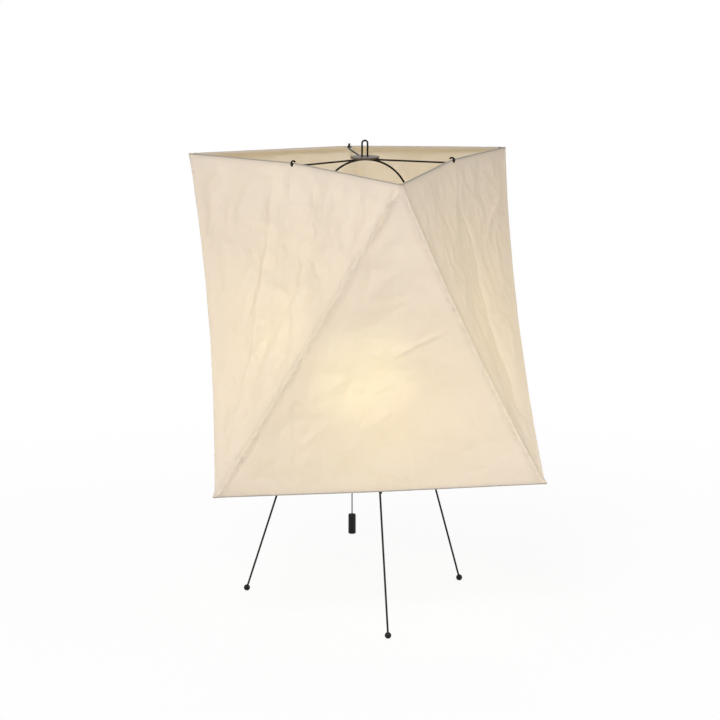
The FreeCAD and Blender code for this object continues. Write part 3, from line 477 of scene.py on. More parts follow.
# %% Draw the creases on the flat strip
CREASE_STEPS = 6
CREASE_FADE = 0.8
line_points, line_edges, line_depths, line_widths = [], [], [], []
for index, name in enumerate(PANELS):
    low, high = [end.z for end in fold_ends(name.startswith("up"), 0)]
    for depth, width, places in CREASES[name]:
        steps = np.linspace(0, len(places) - 1, CREASE_STEPS * (len(places) - 1) + 1)
        aside, height = [np.interp(steps, range(len(places)), values) for values in zip(*places)]
        rise = (height - low) / (high - low) * SHEET_HEIGHT
        fade = np.clip(np.minimum(steps, steps[::-1]) / CREASE_FADE, 0, 1)
        first = len(line_points)
        line_points += [((index * PANEL_STEP + x) * MM, y * MM, 0.0) for x, y in zip(aside, rise)]
        line_edges += [(number, number + 1) for number in range(first, len(line_points) - 1)]
        line_depths += list(depth * fade * MM)
        line_widths += [width * MM] * len(steps)
crease_lines = new_piece("crease_lines", line_points, edges=line_edges)
store(crease_lines, "depth", "FLOAT", line_depths)
store(crease_lines, "width", "FLOAT", line_widths)
print("creases:", sum(len(creases) for creases in CREASES.values()))

# %% [markdown]
# ## Paper finish
# The paper is a warm white sheet of long soft fibres. Seen against the light it is cloudy, because the
# pulp is thicker in some places. Part of the light that meets it goes through, so the finish mixes a
# plain paper surface with one that is lit from behind. The soft bright spot where the bulb shows through
# the front panel is painted light: the paper glows a little around a fixed place near the bulb. The
# patterns follow the sheet's own map, because a pattern laid over the finished shade would run straight
# on across its folds.

# %% Pulp and fibres
FIBRE_SCALE = (60.0, 420.0, 1.0)
CLOUD_SCALE = 34.0
CLOUD_SHARE, FIBRE_SHARE = 0.7, 0.3
FRONT_THIN, FRONT_THICK = (0.870, 0.775, 0.690), (0.910, 0.825, 0.750)
THROUGH_THIN, THROUGH_THICK = (0.93, 0.83, 0.64), (0.87, 0.76, 0.56)
paper_finish, paper_tree = new_finish("shade_paper")
sheet_place = add(paper_tree, "ShaderNodeUVMap", uv_map="sheet").outputs[0]
long_way = add(paper_tree, "ShaderNodeMapping", {"Vector": sheet_place, "Scale": FIBRE_SCALE}).outputs[0]
fibres = noise(paper_tree, long_way, 1.0, detail=4.0, distortion=1.2)
clouds = noise(paper_tree, sheet_place, CLOUD_SCALE, detail=5.0, roughness=0.6)
thick = maths(paper_tree, "ADD", maths(paper_tree, "MULTIPLY", clouds, CLOUD_SHARE),
              maths(paper_tree, "MULTIPLY", fibres, FIBRE_SHARE))
front_plain = ramp(paper_tree, thick, 0.3, 0.7, FRONT_THIN, FRONT_THICK)
through_colour = ramp(paper_tree, thick, 0.3, 0.7, THROUGH_THIN, THROUGH_THICK)
print("paper from", FRONT_THIN, "where it is thin to", FRONT_THICK, "where it is thick")

# %% Rim wire that shows through the hems, partly as painted shade
# The hems are painted darker over the rim wire: partly the dark wire seen through thin paper, partly
# painted shade where the wire stops the light from behind.
WIRE_AND_SHADE_THROUGH_PAPER = (0.52, 0.46, 0.38, 1.0)
WIRE_FULL, WIRE_FADES, WIRE_GONE = 1.0 * MM, 3.0 * MM, 4.2 * MM
up_sheet = add(paper_tree, "ShaderNodeSeparateXYZ", {0: sheet_place}).outputs["Y"]
past_top = maths(paper_tree, "SUBTRACT", up_sheet, SHEET_HEIGHT * MM)
past_bottom = maths(paper_tree, "MULTIPLY", up_sheet, -1.0)
past_edge = maths(paper_tree, "MAXIMUM", past_top, past_bottom)
on_wire = stretched(paper_tree, past_edge, 0.0, WIRE_FULL, 0.0, 1.0)
off_wire = stretched(paper_tree, past_edge, WIRE_FADES, WIRE_GONE, 1.0, 0.0)
wire_and_shade_mask = maths(paper_tree, "MULTIPLY", on_wire, off_wire)
front_colour = mixed(paper_tree, wire_and_shade_mask, front_plain, WIRE_AND_SHADE_THROUGH_PAPER)
print("wire shows in the first", round(WIRE_GONE / MM, 1), "mm past the sheet's edge")

# %% Wrinkles and grain
WRINKLE_SCALE, KINK_SCALE = 48.0, 110.0
WRINKLE_HEIGHT, KINK_HEIGHT, PULP_HEIGHT = 0.8 * MM, 4.0 * MM, 0.3 * MM
wrinkles = noise(paper_tree, sheet_place, WRINKLE_SCALE, detail=3.0, roughness=0.55, distortion=0.3)
ridged = maths(paper_tree, "ABSOLUTE", maths(paper_tree, "SUBTRACT", wrinkles, 0.5))
worn = add(paper_tree, "ShaderNodeAttribute", attribute_name="worn").outputs["Fac"]
kinks = noise(paper_tree, sheet_place, KINK_SCALE, detail=2.0)
worn_relief = maths(paper_tree, "MULTIPLY", maths(paper_tree, "MULTIPLY", kinks, worn), KINK_HEIGHT)
flat_relief = maths(paper_tree, "ADD", maths(paper_tree, "MULTIPLY", ridged, WRINKLE_HEIGHT),
                    maths(paper_tree, "MULTIPLY", thick, PULP_HEIGHT))
grain = bump(paper_tree, 1.0, 1.0, maths(paper_tree, "ADD", flat_relief, worn_relief))
print("folds are worn up to", round(KINK_HEIGHT / MM, 1), "mm deep")

# %% Light through the paper, with a painted spot of the bulb's light
# The bulb's bright spot on the paper is painted light: an emission that fades with distance from a fixed
# place near the bulb.
PAINTED_SPOT_PLACE = (-0.034, -0.079, 0.342)
PAINTED_SPOT_NEAR, PAINTED_SPOT_FAR = 0.064, 0.118
PAINTED_SPOT_STRENGTH = 0.18
PAINTED_SPOT_COLOUR = (1.0, 0.93, 0.36, 1.0)
THROUGH_SHARE = 0.35
from_painted_spot = add(paper_tree, "ShaderNodeVectorMath", {
    0: own_place(paper_tree), 1: PAINTED_SPOT_PLACE}, operation="DISTANCE").outputs["Value"]
glow = stretched(paper_tree, from_painted_spot, PAINTED_SPOT_NEAR, PAINTED_SPOT_FAR, PAINTED_SPOT_STRENGTH, 0.0,
                 interpolation_type="SMOOTHERSTEP")
surface = add(paper_tree, "ShaderNodeBsdfPrincipled", {
    "Base Color": front_colour, "Roughness": 0.8, "Specular IOR Level": 0.2, "Normal": grain,
    "Emission Color": PAINTED_SPOT_COLOUR, "Emission Strength": glow})
behind = add(paper_tree, "ShaderNodeBsdfTranslucent", {"Color": through_colour, "Normal": grain})
both = add(paper_tree, "ShaderNodeMixShader", {
    0: THROUGH_SHARE, 1: surface.outputs[0], 2: behind.outputs[0]})
show(paper_tree, both.outputs[0])
print("paper finish:", len(paper_tree.nodes), "nodes")

# %% [markdown]
# ## Paper shade: folding
# One node tree does what hands do with the sheet. It first works out how far each point of the flat
# strip is lifted by creases. Then it moves the point to its place between the three fold curves of its
# panel, with the middle fold a little rounded, and pushes it out by its lift. The crease distance is
# taken on the flat strip, where it is a plain distance in one plane.

# %% Tree that folds and creases the sheet
fold_tree, given = new_tree("fold_sheet", {
    "Geometry": ("Geometry", None),
    "Fold curves": ("Object", None),
    "Crease lines": ("Object", None),
    "Fold softness": ("Float", 0.07),
    "Crumple size": ("Float", 0.07),
    "Crumple depth": ("Float", 0.004),
    "Seed": ("Float", 3.0),
    "Finish": ("Material", None),
})
folds = add(fold_tree, "GeometryNodeObjectInfo", {"Object": given["Fold curves"]}).outputs["Geometry"]
lines = add(fold_tree, "GeometryNodeObjectInfo", {"Object": given["Crease lines"]}).outputs["Geometry"]
line_gap = add(fold_tree, "GeometryNodeProximity", {0: lines}, target_element="EDGES").outputs["Distance"]
nearest = add(fold_tree, "GeometryNodeSampleNearest", {"Geometry": lines}, domain="POINT").outputs[0]


def own(name, kind="FLOAT"):
    """Number stored on the sheet's own points."""
    return add(fold_tree, "GeometryNodeInputNamedAttribute", {"Name": name}, data_type=kind).outputs[0]


def of_line(name):
    """Number stored on the nearest crease line."""
    feeds = {"Geometry": lines, "Value": own(name), "Index": nearest}
    return add(fold_tree, "GeometryNodeSampleIndex", feeds, data_type="FLOAT", domain="POINT").outputs[0]


# %% Crumple of the sheet
CELL_MIDDLE = 0.45


def crumple(size, depth, seed):
    """Shallow facets that meet in creases: cells of a pattern, bent by a soft noise."""
    often = maths(fold_tree, "DIVIDE", 1.0, size)
    swirl = add(fold_tree, "ShaderNodeTexNoise", {
        "W": seed, "Scale": often}, noise_dimensions="4D").outputs[1]
    place = add(fold_tree, "GeometryNodeInputPosition").outputs[0]
    bent = vectors(fold_tree, "ADD", place, scaled(fold_tree, swirl, size))
    shifted = vectors(fold_tree, "ADD", bent, seed)
    cells = add(fold_tree, "ShaderNodeTexVoronoi", {"Vector": shifted, "Scale": often},
                voronoi_dimensions="2D", distance="MANHATTAN").outputs["Distance"]
    return maths(fold_tree, "MULTIPLY", maths(fold_tree, "SUBTRACT", cells, CELL_MIDDLE), depth)


# %% Lift by creases, on the flat strip
FINE_SIZE, FINE_DEPTH, FINE_SEED = 0.35, 0.28, 5.0
distance = maths(fold_tree, "DIVIDE", line_gap, of_line("width"))
sharp = maths(fold_tree, "EXPONENT", maths(fold_tree, "MULTIPLY", distance, -1.0))
crease = maths(fold_tree, "MULTIPLY", sharp, of_line("depth"))
broad = crumple(given["Crumple size"], given["Crumple depth"], given["Seed"])
fine = crumple(maths(fold_tree, "MULTIPLY", given["Crumple size"], FINE_SIZE),
               maths(fold_tree, "MULTIPLY", given["Crumple depth"], FINE_DEPTH),
               maths(fold_tree, "ADD", given["Seed"], FINE_SEED))
crumpled = maths(fold_tree, "MULTIPLY", maths(fold_tree, "ADD", broad, fine), own("slack"))
lift = maths(fold_tree, "ADD", crease, crumpled)
held = maths(fold_tree, "MULTIPLY", lift, own("freedom"))
marked = add(fold_tree, "GeometryNodeStoreNamedAttribute", {
    "Geometry": given["Geometry"], "Name": "lift", "Value": held},
    data_type="FLOAT", domain="POINT").outputs[0]


# %% Place between the folds, then lift
def fold_place(number):
    """Place on the left (0), middle (1) or right (2) fold of the point's panel, at the point's height."""
    index = maths(fold_tree, "ADD", maths(fold_tree, "MULTIPLY", own("panel", "INT"), 3.0), float(number))
    return add(fold_tree, "GeometryNodeSampleCurve", {
        "Curves": folds, "Factor": own("up"), "Curve Index": index}, mode="FACTOR").outputs["Position"]


left, middle, right = [fold_place(number) for number in range(3)]
over = scaled(fold_tree, vectors(fold_tree, "SUBTRACT", right, left), own("across"))
chord = vectors(fold_tree, "ADD", left, over)
centre = scaled(fold_tree, vectors(fold_tree, "ADD", left, right), 0.5)
soft = maths(fold_tree, "MULTIPLY", given["Fold softness"], given["Fold softness"])
aside = maths(fold_tree, "SUBTRACT", maths(fold_tree, "MULTIPLY", own("across"), 2.0), 1.0)
squared = maths(fold_tree, "MULTIPLY", aside, aside)
rounded = maths(fold_tree, "SQRT", maths(fold_tree, "ADD", squared, soft))
full = maths(fold_tree, "SQRT", maths(fold_tree, "ADD", 1.0, soft))
share = maths(fold_tree, "DIVIDE", maths(fold_tree, "SUBTRACT", full, rounded),
              maths(fold_tree, "SUBTRACT", full, given["Fold softness"]))
drawn_in = scaled(fold_tree, vectors(fold_tree, "SUBTRACT", middle, centre), share)
folded = add(fold_tree, "GeometryNodeSetPosition", {
    "Geometry": marked, "Position": vectors(fold_tree, "ADD", chord, drawn_in)}).outputs[0]
outward = add(fold_tree, "GeometryNodeInputNormal").outputs[0]
creased = add(fold_tree, "GeometryNodeSetPosition", {
    "Geometry": folded, "Offset": scaled(fold_tree, outward, own("lift"))}).outputs[0]
finish_tree(fold_tree, creased, given["Finish"])
print("folding tree:", len(fold_tree.nodes), "nodes")

# %% Fold the sheet
paper_shade = grown("paper_shade", fold_tree, {
    "Fold curves": fold_curves,
    "Crease lines": crease_lines,
    "Fold softness": 0.07,
    "Crumple size": 0.062,
    "Crumple depth": 0.0046,
    "Seed": 3.0,
    "Finish": paper_finish,
}, strip)
bpy.data.objects.remove(fold_curves)
bpy.data.objects.remove(crease_lines)

# %% [markdown]
# ## Paper shade: seam, hems, notches and corners
# The strip's two ends are glued into a tube. At each rim the paper is folded round the wire and glued
# down inside: the open edge of the sheet is drawn out ring by ring, round the wire and back along the
# inside. Where a spider arm holds the rim the hem is cut away, and the corners are pinched to a point.

# %% Close the tube
SEAM_WELD = 0.05 * MM
tube = bmesh.new()
tube.from_mesh(paper_shade.data)
bmesh.ops.remove_doubles(tube, verts=tube.verts, dist=SEAM_WELD)
open_edges = [edge for edge in tube.edges if edge.is_boundary]
edge_points = list(dict.fromkeys(vertex for edge in open_edges for vertex in edge.verts))
sheet_layer = tube.loops.layers.uv["sheet"]
half_way = (TOP_CORNER + BOTTOM_CORNER) / 2 * MM
print("tube:", len(tube.verts), "points,", len(open_edges), "edges along the rims")


# %% Shape of the hems
HEM_TURNS = (35, 70, 105, 140, 180)
HEM_INSIDE = ((0.0, -1.5), (1.0, -3.2))
HEM_MAP_STEP = 2 * MM


def hem_rings():
    """Steps of the hem across and up from the paper's edge, in millimetres: round the wire, then inside."""
    turns = [math.radians(angle) for angle in HEM_TURNS]
    rings = [(HEM_RADIUS * (math.cos(turn) - 1), HEM_RADIUS * math.sin(turn)) for turn in turns]
    return rings + [(across - 2 * HEM_RADIUS, rise) for across, rise in HEM_INSIDE]


def level_outward(vertex):
    """Level direction away from the axis, square to the paper's open edge."""
    total = Vector()
    for edge in vertex.link_edges:
        if edge.is_boundary:
            run = edge.other_vert(vertex).co - vertex.co
            side = Vector((run.y, -run.x, 0)).normalized()
            total += side if side.dot(vertex.co) > 0 else -side
    return total.normalized()


# %% Fold the hems round the rims
away = {vertex: level_outward(vertex) for vertex in edge_points}
flat_of = {vertex: vertex.link_loops[0][sheet_layer].uv.copy() for vertex in edge_points}
hem_of = {vertex: [vertex] for vertex in edge_points}
for vertex in edge_points:
    upward = MM if vertex.co.z > half_way else -MM
    for across, rise in hem_rings():
        place = vertex.co + away[vertex] * across * MM + Vector((0, 0, rise * upward))
        hem_of[vertex].append(tube.verts.new(place))
for edge in open_edges:
    first, second = edge.verts
    step = Vector((0, HEM_MAP_STEP if first.co.z > half_way else -HEM_MAP_STEP))
    for ring in range(len(hem_rings())):
        face = tube.faces.new((hem_of[first][ring], hem_of[second][ring],
                               hem_of[second][ring + 1], hem_of[first][ring + 1]))
        face.smooth = True
        near, far = flat_of[first] + step * ring, flat_of[second] + step * ring
        for loop, place in zip(face.loops, (near, far, far + step, near + step)):
            loop[sheet_layer].uv = place
bmesh.ops.recalc_face_normals(tube, faces=tube.faces)
print("hems added:", len(tube.faces), "faces")

# %% Cut the notches for the spider arms
NOTCH_HALF, NOTCH_BOTTOM = 1.6 * MM, 554.8 * MM
notched = []
for name, angle in PANELS.items():
    if name.startswith("down"):
        back = Matrix.Rotation(math.radians(-angle), 3, "Z")
        for face in tube.faces:
            middle = face.calc_center_median()
            if middle.z > NOTCH_BOTTOM:
                local = back @ middle
                if local.x > 0 and abs(local.y) < NOTCH_HALF:
                    notched.append(face)
bmesh.ops.delete(tube, geom=notched, context="FACES")
print("notches:", len(notched), "faces cut away")

# %% Pinch the corners
PINCH_REACH, PINCH_SHARE = 11.0 * MM, 0.5
TOP_EAR, BOTTOM_EAR = 1.2 * MM, 4.4 * MM
for name, angle in PANELS.items():
    point_up = name.startswith("up")
    direction = Vector((math.cos(math.radians(angle)), math.sin(math.radians(angle)), 0))
    height = TOP_CORNER if point_up else BOTTOM_CORNER
    tip = direction * TIP_REACH * MM + Vector((0, 0, height * MM))
    sideways = Vector((-direction.y, direction.x, 0))
    ear = TOP_EAR if point_up else BOTTOM_EAR
    for vertex in tube.verts:
        gap = (vertex.co - tip).length
        if gap < PINCH_REACH:
            share = (1 - gap / PINCH_REACH) ** 2
            vertex.co += direction * ear * share
            vertex.co -= sideways * (vertex.co - tip).dot(sideways) * PINCH_SHARE * share
tube.to_mesh(paper_shade.data)
tube.free()
print("paper shade:", len(paper_shade.data.polygons), "faces")

place_piece(paper_shade, "shade")
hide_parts(*["paper_" + name for name in PANELS])
place_piece(pull_cord, "pull")
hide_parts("pull_cord")
print("paper rides on the shade, cord on the pull")

# %% [markdown]
# ## Wire finish
# Legs, harp, loop and spider are steel wire with a thin black paint. Paint on wire is never quite even:
# it pools and thins, so its gloss varies slowly along the wire, with a very fine orange peel. The
# spider's disc has a dull grey coat, and part of that grey is a painted reflection of the white room
# in black paint seen at a grazing angle.


# %% Painted metal
PAINT_POOLS = 90.0
PAINT_DARK, PAINT_LIGHT = 0.75, 1.25
PAINT_GLOSS_SPREAD = 0.18
PAINT_SHINE = 0.14


def painted(name, colour, gloss, grain_size):
    """Coat of paint, or the skin of a moulded piece."""
    finish, tree = new_finish(name)
    place = own_place(tree)
    slow = noise(tree, place, PAINT_POOLS, detail=3.0)
    peel = noise(tree, place, grain_size, detail=2.0)
    dark, light = [[share * part for part in colour] for share in (PAINT_DARK, PAINT_LIGHT)]
    shader = add(tree, "ShaderNodeBsdfPrincipled", {
        "Base Color": ramp(tree, slow, 0.3, 0.7, dark, light),
        "Roughness": stretched(tree, slow, 0.0, 1.0, gloss, gloss + PAINT_GLOSS_SPREAD),
        "Specular IOR Level": PAINT_SHINE,
        "Normal": bump(tree, 0.15, 0.1 * MM, peel)})
    show(tree, shader.outputs[0])
    return finish


wire_black = painted("wire_black", (0.010, 0.007, 0.005), 0.42, 2600.0)
dress(wire_black, "leg_front", "leg_right", "leg_left", "harp", "carrying_loop",
      "spider_arm_right", "spider_arm_back", "spider_arm_left", "top_rim", "bottom_rim", "stand_hub")
foot_black = painted("foot_black", (0.012, 0.011, 0.011), 0.3, 1500.0)
dress(foot_black, "foot_front", "foot_right", "foot_left")
weight_black = painted("weight_black", (0.01, 0.009, 0.009), 0.38, 2200.0)
dress(weight_black, "pull_weight")
# The disc's dull grey is partly its coat and partly a painted reflection of the white room at a grazing
# angle.
disc_grey_and_reflection = painted("disc_grey_and_reflection", (0.125, 0.098, 0.085), 0.6, 1500.0)
dress(disc_grey_and_reflection, "spider_disc")

# %% [markdown]
# ## Lampholder and fittings
# The lampholder is black moulded plastic with a matt skin. Its screw shell, contacts and the pull
# switch's plunger are brass, the nuts and the threaded tube are zinc plated, and the insert is ceramic.
# Moulded pieces share a finish with the painted ones and metal pieces share another, because each kind
# differs only in colour, gloss and grain.

# %% Moulded plastic and ceramic
holder_black = painted("holder_black", (0.018, 0.017, 0.016), 0.42, 1200.0)
dress(holder_black, "holder_cap", "holder_shell", "switch_housing", "inlet_bush")
insert_white = painted("insert_white", (0.72, 0.7, 0.64), 0.55, 700.0)
dress(insert_white, "holder_insert")
bulb_black = painted("bulb_black", (0.02, 0.02, 0.024), 0.12, 900.0)
dress(bulb_black, "bulb_insulator")


# %% Bare metal
DRAWN_SCALE = (900.0, 900.0, 120.0)
MARK_DARK = 0.88
MARK_GLOSS_SPREAD = 0.2


def bare_metal(name, colour, gloss):
    """Metal with fine marks along its height."""
    finish, tree = new_finish(name)
    drawn = add(tree, "ShaderNodeMapping", {"Vector": own_place(tree), "Scale": DRAWN_SCALE}).outputs[0]
    marks = noise(tree, drawn, 1.0, detail=3.0)
    dark = [MARK_DARK * part for part in colour]
    shader = add(tree, "ShaderNodeBsdfPrincipled", {
        "Base Color": ramp(tree, marks, 0.3, 0.7, dark, colour),
        "Metallic": 1.0,
        "Roughness": stretched(tree, marks, 0.0, 1.0, gloss, gloss + MARK_GLOSS_SPREAD),
        "Normal": bump(tree, 0.1, 0.1 * MM, marks)})
    show(tree, shader.outputs[0])
    return finish


contact_brass = bare_metal("contact_brass", (0.72, 0.52, 0.22), 0.25)
dress(contact_brass, "screw_shell", "centre_contact", "terminal_screws", "pull_plunger", "bulb_contact")
zinc_steel = bare_metal("zinc_steel", (0.42, 0.41, 0.42), 0.36)
dress(zinc_steel, "nipple", "lock_washer", "hub_nut", "cap_nut")
bulb_metal = bare_metal("bulb_metal", (0.75, 0.74, 0.71), 0.28)
dress(bulb_metal, "bulb_cap")

# %% Braided cord
STRAND_SCALE = 420.0
STRAND_DARK, STRAND_LIGHT = (0.012, 0.011, 0.01), (0.035, 0.03, 0.026)
cord_dark, cord_tree = new_finish("cord_dark")
strands = add(cord_tree, "ShaderNodeTexWave", {
    "Vector": own_place(cord_tree), "Scale": STRAND_SCALE, "Distortion": 2.0, "Detail": 2.0},
    bands_direction="DIAGONAL").outputs[1]
cord_face = add(cord_tree, "ShaderNodeBsdfPrincipled", {
    "Base Color": ramp(cord_tree, strands, 0.2, 0.8, STRAND_DARK, STRAND_LIGHT),
    "Roughness": 0.75,
    "Sheen Weight": 0.3,
    "Normal": bump(cord_tree, 0.5, 0.2 * MM, strands)})
show(cord_tree, cord_face.outputs[0])
pull_cord.data.materials.clear()
pull_cord.data.materials.append(cord_dark)
print(cord_dark.name, "on", pull_cord.name)

# %% [markdown]
# ## Bulb
# The bulb is lit, and its frosted glass glows evenly. A glass that glows as brightly as a real bulb
# would show as a flat white disc when the shade is off, so the glass only shows a warm glow. A small
# lamp inside it, which the glass doesn't shade, gives the light that shines through the paper.

# %% Frosted glass
GLASS_GLOW = 0.34
GLASS_GLOW_COLOUR = (1.0, 0.78, 0.42, 1.0)
FROST_SCALE = 1800.0
FROST_DARK, FROST_LIGHT = (0.66, 0.60, 0.49), (0.74, 0.68, 0.56)
bulb_frosted, bulb_tree = new_finish("bulb_frosted")
frost = noise(bulb_tree, own_place(bulb_tree), FROST_SCALE, detail=2.0)
frosted = add(bulb_tree, "ShaderNodeBsdfPrincipled", {
    "Base Color": ramp(bulb_tree, frost, 0.3, 0.7, FROST_DARK, FROST_LIGHT),
    "Roughness": 0.5,
    "Normal": bump(bulb_tree, 0.2, 0.1 * MM, frost),
    "Emission Color": GLASS_GLOW_COLOUR,
    "Emission Strength": GLASS_GLOW})
show(bulb_tree, frosted.outputs[0])
dress(bulb_frosted, "bulb_glass")
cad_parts["bulb_glass"].visible_shadow = False

# %% Light inside the bulb
BULB_POWER = 0.36
BULB_COLOUR = (1.0, 0.87, 0.12)
BULB_MIDDLE = (0.0, 0.0, 0.2953)
BULB_LIGHT_RADIUS = 22 * MM
bulb_lamp = bpy.data.lights.new("bulb light", "POINT")
bulb_lamp.energy = BULB_POWER
bulb_lamp.color = BULB_COLOUR
bulb_lamp.shadow_soft_size = BULB_LIGHT_RADIUS
bulb_light = bpy.data.objects.new("bulb light", bulb_lamp)
bulb_light.location = BULB_MIDDLE
scene.collection.objects.link(bulb_light)
print("bulb light at", BULB_MIDDLE, "with", BULB_POWER, "W")

# %% Clear stem
STREAK_SCALE = 400.0
CLEAR_COLOUR = (0.95, 0.97, 0.97, 1.0)
bulb_clear, clear_tree = new_finish("bulb_clear")
streaks = noise(clear_tree, own_place(clear_tree), STREAK_SCALE, detail=1.0)
clear = add(clear_tree, "ShaderNodeBsdfPrincipled", {
    "Base Color": CLEAR_COLOUR,
    "Roughness": 0.05,
    "Transmission Weight": 1.0,
    "Normal": bump(clear_tree, 0.1, 0.2 * MM, streaks)})
show(clear_tree, clear.outputs[0])
dress(bulb_clear, "bulb_stem")

# %% Glowing filament
COIL_SCALE = 900.0
COIL_DARK, COIL_LIGHT = (0.25, 0.2, 0.15), (0.5, 0.4, 0.3)
COIL_GLOW, COIL_GLOW_COLOUR = 8.0, (1.0, 0.62, 0.25, 1.0)
filament, filament_tree = new_finish("filament")
coil = add(filament_tree, "ShaderNodeTexWave", {
    "Vector": own_place(filament_tree), "Scale": COIL_SCALE}).outputs[1]
hot = add(filament_tree, "ShaderNodeBsdfPrincipled", {
    "Base Color": ramp(filament_tree, coil, 0.2, 0.8, COIL_DARK, COIL_LIGHT),
    "Metallic": 1.0,
    "Roughness": 0.5,
    "Emission Color": COIL_GLOW_COLOUR,
    "Emission Strength": COIL_GLOW})
show(filament_tree, hot.outputs[0])
dress(filament, "bulb_filament")

# %% [markdown]
# ## Threads, ribs and weld beads
# Small repeated details come from node trees too. A thread is a round ridge swept along a spiral, and
# the same tree makes the bulb's thread, the screw shell's and the threaded tube's. The lampholder has
# ribs to grip, and drops of weld join the wires.

# %% Tree for a screw thread
thread_tree, given = new_tree("screw_thread", {
    "Radius": ("Float", 0.013),
    "Base height": ("Float", 0.22),
    "Length": ("Float", 0.02),
    "Turns": ("Float", 5.0),
    "Ridge": ("Float", 0.0004),
    "Finish": ("Material", None),
})
spiral = add(thread_tree, "GeometryNodeCurveSpiral", {
    "Resolution": 48, "Rotations": given["Turns"], "Start Radius": given["Radius"],
    "End Radius": given["Radius"], "Height": given["Length"]}).outputs[0]
ridge = add(thread_tree, "GeometryNodeCurvePrimitiveCircle", {
    "Resolution": 8, "Radius": given["Ridge"]}).outputs[0]
swept = add(thread_tree, "GeometryNodeCurveToMesh", {
    "Curve": spiral, "Profile Curve": ridge, "Fill Caps": True}).outputs[0]
height = add(thread_tree, "ShaderNodeCombineXYZ", {"Z": given["Base height"]}).outputs[0]
raised = add(thread_tree, "GeometryNodeTransform", {"Geometry": swept, "Translation": height}).outputs[0]
finish_tree(thread_tree, raised, given["Finish"])
print("thread tree:", len(thread_tree.nodes), "nodes")

# %% Cut the threads
# Each thread's last values are its radius, base height, length, turns and ridge, in millimetres.
THREADS = (
    ("bulb_thread", "bulb", "bulb_metal", bulb_metal, (12.95, 222.0, 18.0, 5.0, 0.45)),
    ("shell_thread", "stand", "contact_brass", contact_brass, (13.8, 216.0, 20.0, 5.5, 0.3)),
    ("tube_thread", "stand", "zinc_steel", zinc_steel, (4.95, 156.5, 7.0, 7.0, 0.3)),
)
for name, body, slot, finish, sizes in THREADS:
    radius, base, length, turns, ridge = sizes
    thread = grown(name, thread_tree, {
        "Radius": radius * MM, "Base height": base * MM, "Length": length * MM, "Turns": turns,
        "Ridge": ridge * MM, "Finish": finish})
    place_piece(thread, body)

# %% Tree for drops on points
drop_tree, given = new_tree("drops_on_points", {
    "Geometry": ("Geometry", None),
    "Size": ("Vector", (0.001, 0.001, 0.001)),
    "Unevenness": ("Float", 0.2),
    "Seed": ("Int", 4),
    "Finish": ("Material", None),
})
drop = add(drop_tree, "GeometryNodeMeshUVSphere", {"Segments": 12, "Rings": 8, "Radius": 1.0}).outputs[0]
least = maths(drop_tree, "SUBTRACT", 1.0, given["Unevenness"])
most = maths(drop_tree, "ADD", 1.0, given["Unevenness"])
spread = add(drop_tree, "FunctionNodeRandomValue", {
    2: least, 3: most, "Seed": given["Seed"]}, data_type="FLOAT").outputs[1]
drop_size = scaled(drop_tree, given["Size"], spread)
drops = add(drop_tree, "GeometryNodeInstanceOnPoints", {
    "Points": given["Geometry"], "Instance": drop, "Scale": drop_size}).outputs[0]
finish_tree(drop_tree, drops, given["Finish"])
print("drop tree:", len(drop_tree.nodes), "nodes")


# %% Ribs of the lampholder
def round_axis(reach, angle, height):
    """Place in metres from a reach and a height in millimetres and an angle in degrees."""
    turn = math.radians(angle)
    return (reach * math.cos(turn) * MM, reach * math.sin(turn) * MM, height * MM)


RIB_COUNT, RIB_REACH, RIB_HEIGHT = 40, 18.4, 228
RIB_SIZE = (0.6 * MM, 0.6 * MM, 9.0 * MM)
rib_points = [round_axis(RIB_REACH, 360 * number / RIB_COUNT, RIB_HEIGHT) for number in range(RIB_COUNT)]
ribs = grown("holder_ribs", drop_tree, {
    "Size": RIB_SIZE, "Unevenness": 0.0, "Seed": 1, "Finish": holder_black},
    new_piece("rib_points", rib_points))
place_piece(ribs, "stand")

# %% Drops of weld on the stand
LEG_ANGLES = (-90, 30, 150)
REST_REACHES, REST_HEIGHT = (103.6, 104.6), 167.3
LOOP_SIDE, LOOP_ACROSS, LOOP_HEIGHT = 3.4, 0.6, 556.7
STAND_DROP = (1.25 * MM, 1.25 * MM, 1.1 * MM)
rest_welds = [round_axis(reach, angle, REST_HEIGHT) for angle in LEG_ANGLES for reach in REST_REACHES]
loop_welds = [(side * LOOP_SIDE * MM, way * LOOP_ACROSS * MM, LOOP_HEIGHT * MM)
              for side in (-1, 1) for way in (-1, 1)]
stand_welds = grown("stand_welds", drop_tree, {
    "Size": STAND_DROP, "Unevenness": 0.12, "Seed": 4, "Finish": wire_black},
    new_piece("stand_weld_points", rest_welds + loop_welds))
place_piece(stand_welds, "stand")

# %% Drops of weld on the spider
ARM_ANGLES = (-30, 90, 210)
ARM_REACHES, ARM_ASIDE, ARM_HEIGHT = (11.0, 14.5), 1.1, 556.8
ARM_DROP = (0.9 * MM, 0.9 * MM, 0.6 * MM)
arm_welds = [round_axis(reach, angle + way * math.degrees(ARM_ASIDE / reach), ARM_HEIGHT)
             for angle in ARM_ANGLES for reach in ARM_REACHES for way in (-1, 1)]
shade_welds = grown("shade_welds", drop_tree, {
    "Size": ARM_DROP, "Unevenness": 0.15, "Seed": 7, "Finish": wire_black},
    new_piece("arm_weld_points", arm_welds))
place_piece(shade_welds, "shade")

# %% [markdown]
# ## Floor and light
# The lamp stands on a plain pale floor under soft studio light. One large panel high in front and to the
# left gives the main light, two small low ones in front fill its shadows, one behind lights the back of
# the paper, and the room is evenly pale. The floor is white for the eye and only keeps a trace of the
# lamp's shadow: a floor that is lit to full white would throw too much light back up at the paper.


# %% What is seen without paper in between
def seen_directly(tree):
    """One for what is seen straight, in a reflection or through clear glass, but not through paper."""
    path = add(tree, "ShaderNodeLightPath").outputs
    clear = maths(tree, "SUBTRACT", path["Is Transmission Ray"], path["Is Diffuse Ray"])
    mirrored = maths(tree, "MAXIMUM", path["Is Glossy Ray"], clear)
    return maths(tree, "MAXIMUM", path["Is Camera Ray"], mirrored)


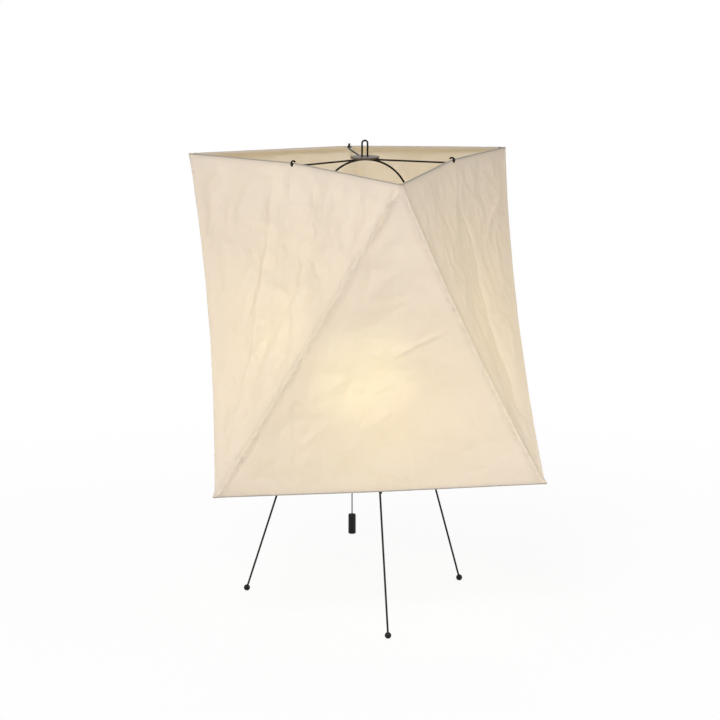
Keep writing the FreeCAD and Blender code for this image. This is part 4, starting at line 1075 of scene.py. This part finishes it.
# %% Pale floor
FLOOR_REACH = 25.0
FLOOR_COLOUR, WHITE = (0.86, 0.86, 0.86, 1.0), (1.0, 1.0, 1.0, 1.0)
SHADOW_NEAR, SHADOW_FAR = 0.3, 1.2
WHITE_UNDER_LAMP = 0.93
floor_corners = [(x * FLOOR_REACH, y * FLOOR_REACH, 0) for x, y in ((-1, -1), (1, -1), (1, 1), (-1, 1))]
floor = new_piece("floor", floor_corners, faces=[(0, 1, 2, 3)])
floor_finish, floor_tree = new_finish("floor_pale")
floor_face = add(floor_tree, "ShaderNodeBsdfDiffuse", {"Color": FLOOR_COLOUR}).outputs[0]
floor_white = add(floor_tree, "ShaderNodeEmission", {"Color": WHITE, "Strength": 1.0}).outputs[0]
from_lamp = add(floor_tree, "ShaderNodeVectorMath", {
    0: own_place(floor_tree)}, operation="LENGTH").outputs["Value"]
fading = stretched(floor_tree, from_lamp, SHADOW_NEAR, SHADOW_FAR, WHITE_UNDER_LAMP, 1.0)
white_share = maths(floor_tree, "MULTIPLY", seen_directly(floor_tree), fading)
floor_mix = add(floor_tree, "ShaderNodeMixShader", {0: white_share, 1: floor_face, 2: floor_white})
show(floor_tree, floor_mix.outputs[0])
floor.data.materials.append(floor_finish)
floor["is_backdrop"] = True
print("floor reaches", FLOOR_REACH, "m each way")

# %% Even light of the room
ROOM_LIGHT = 0.22
world = bpy.data.worlds.new("room")
scene.world = world
world.use_nodes = True
room_tree = world.node_tree
room_tree.nodes.clear()
room_light = add(room_tree, "ShaderNodeBackground", {"Strength": ROOM_LIGHT, "Color": WHITE}).outputs[0]
room_white = add(room_tree, "ShaderNodeBackground", {"Strength": 1.0, "Color": WHITE}).outputs[0]
room_mix = add(room_tree, "ShaderNodeMixShader", {
    0: seen_directly(room_tree), 1: room_light, 2: room_white}).outputs[0]
add(room_tree, "ShaderNodeOutputWorld", {"Surface": room_mix})
print("room light", ROOM_LIGHT)

# %% Panels of light
SHADE_MIDDLE = Vector((0, 0, 0.36))


def light_panel(name, place, size, power):
    panel = bpy.data.lights.new(name, "AREA")
    panel.shape = "SQUARE"
    panel.size = size
    panel.energy = power
    lamp = bpy.data.objects.new(name, panel)
    lamp.location = place
    lamp.rotation_euler = (SHADE_MIDDLE - Vector(place)).to_track_quat("-Z", "Y").to_euler()
    scene.collection.objects.link(lamp)
    print(name, "at", place, "with", power, "W")


light_panel("high panel", (-1.03, -1.78, 2.81), 1.2, 62.0)
light_panel("low right panel", (0.86, -0.84, 0.22), 0.6, 5.4)
light_panel("low left panel", (-1.20, -0.60, 0.20), 0.6, 4.2)
light_panel("back panel", (0.75, 2.80, 1.70), 1.2, 22.0)

# %% Measure the bounds of what is shown
bpy.context.view_layer.update()
low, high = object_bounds()
print("visual box", [round(value, 4) for value in (*low, *high)])
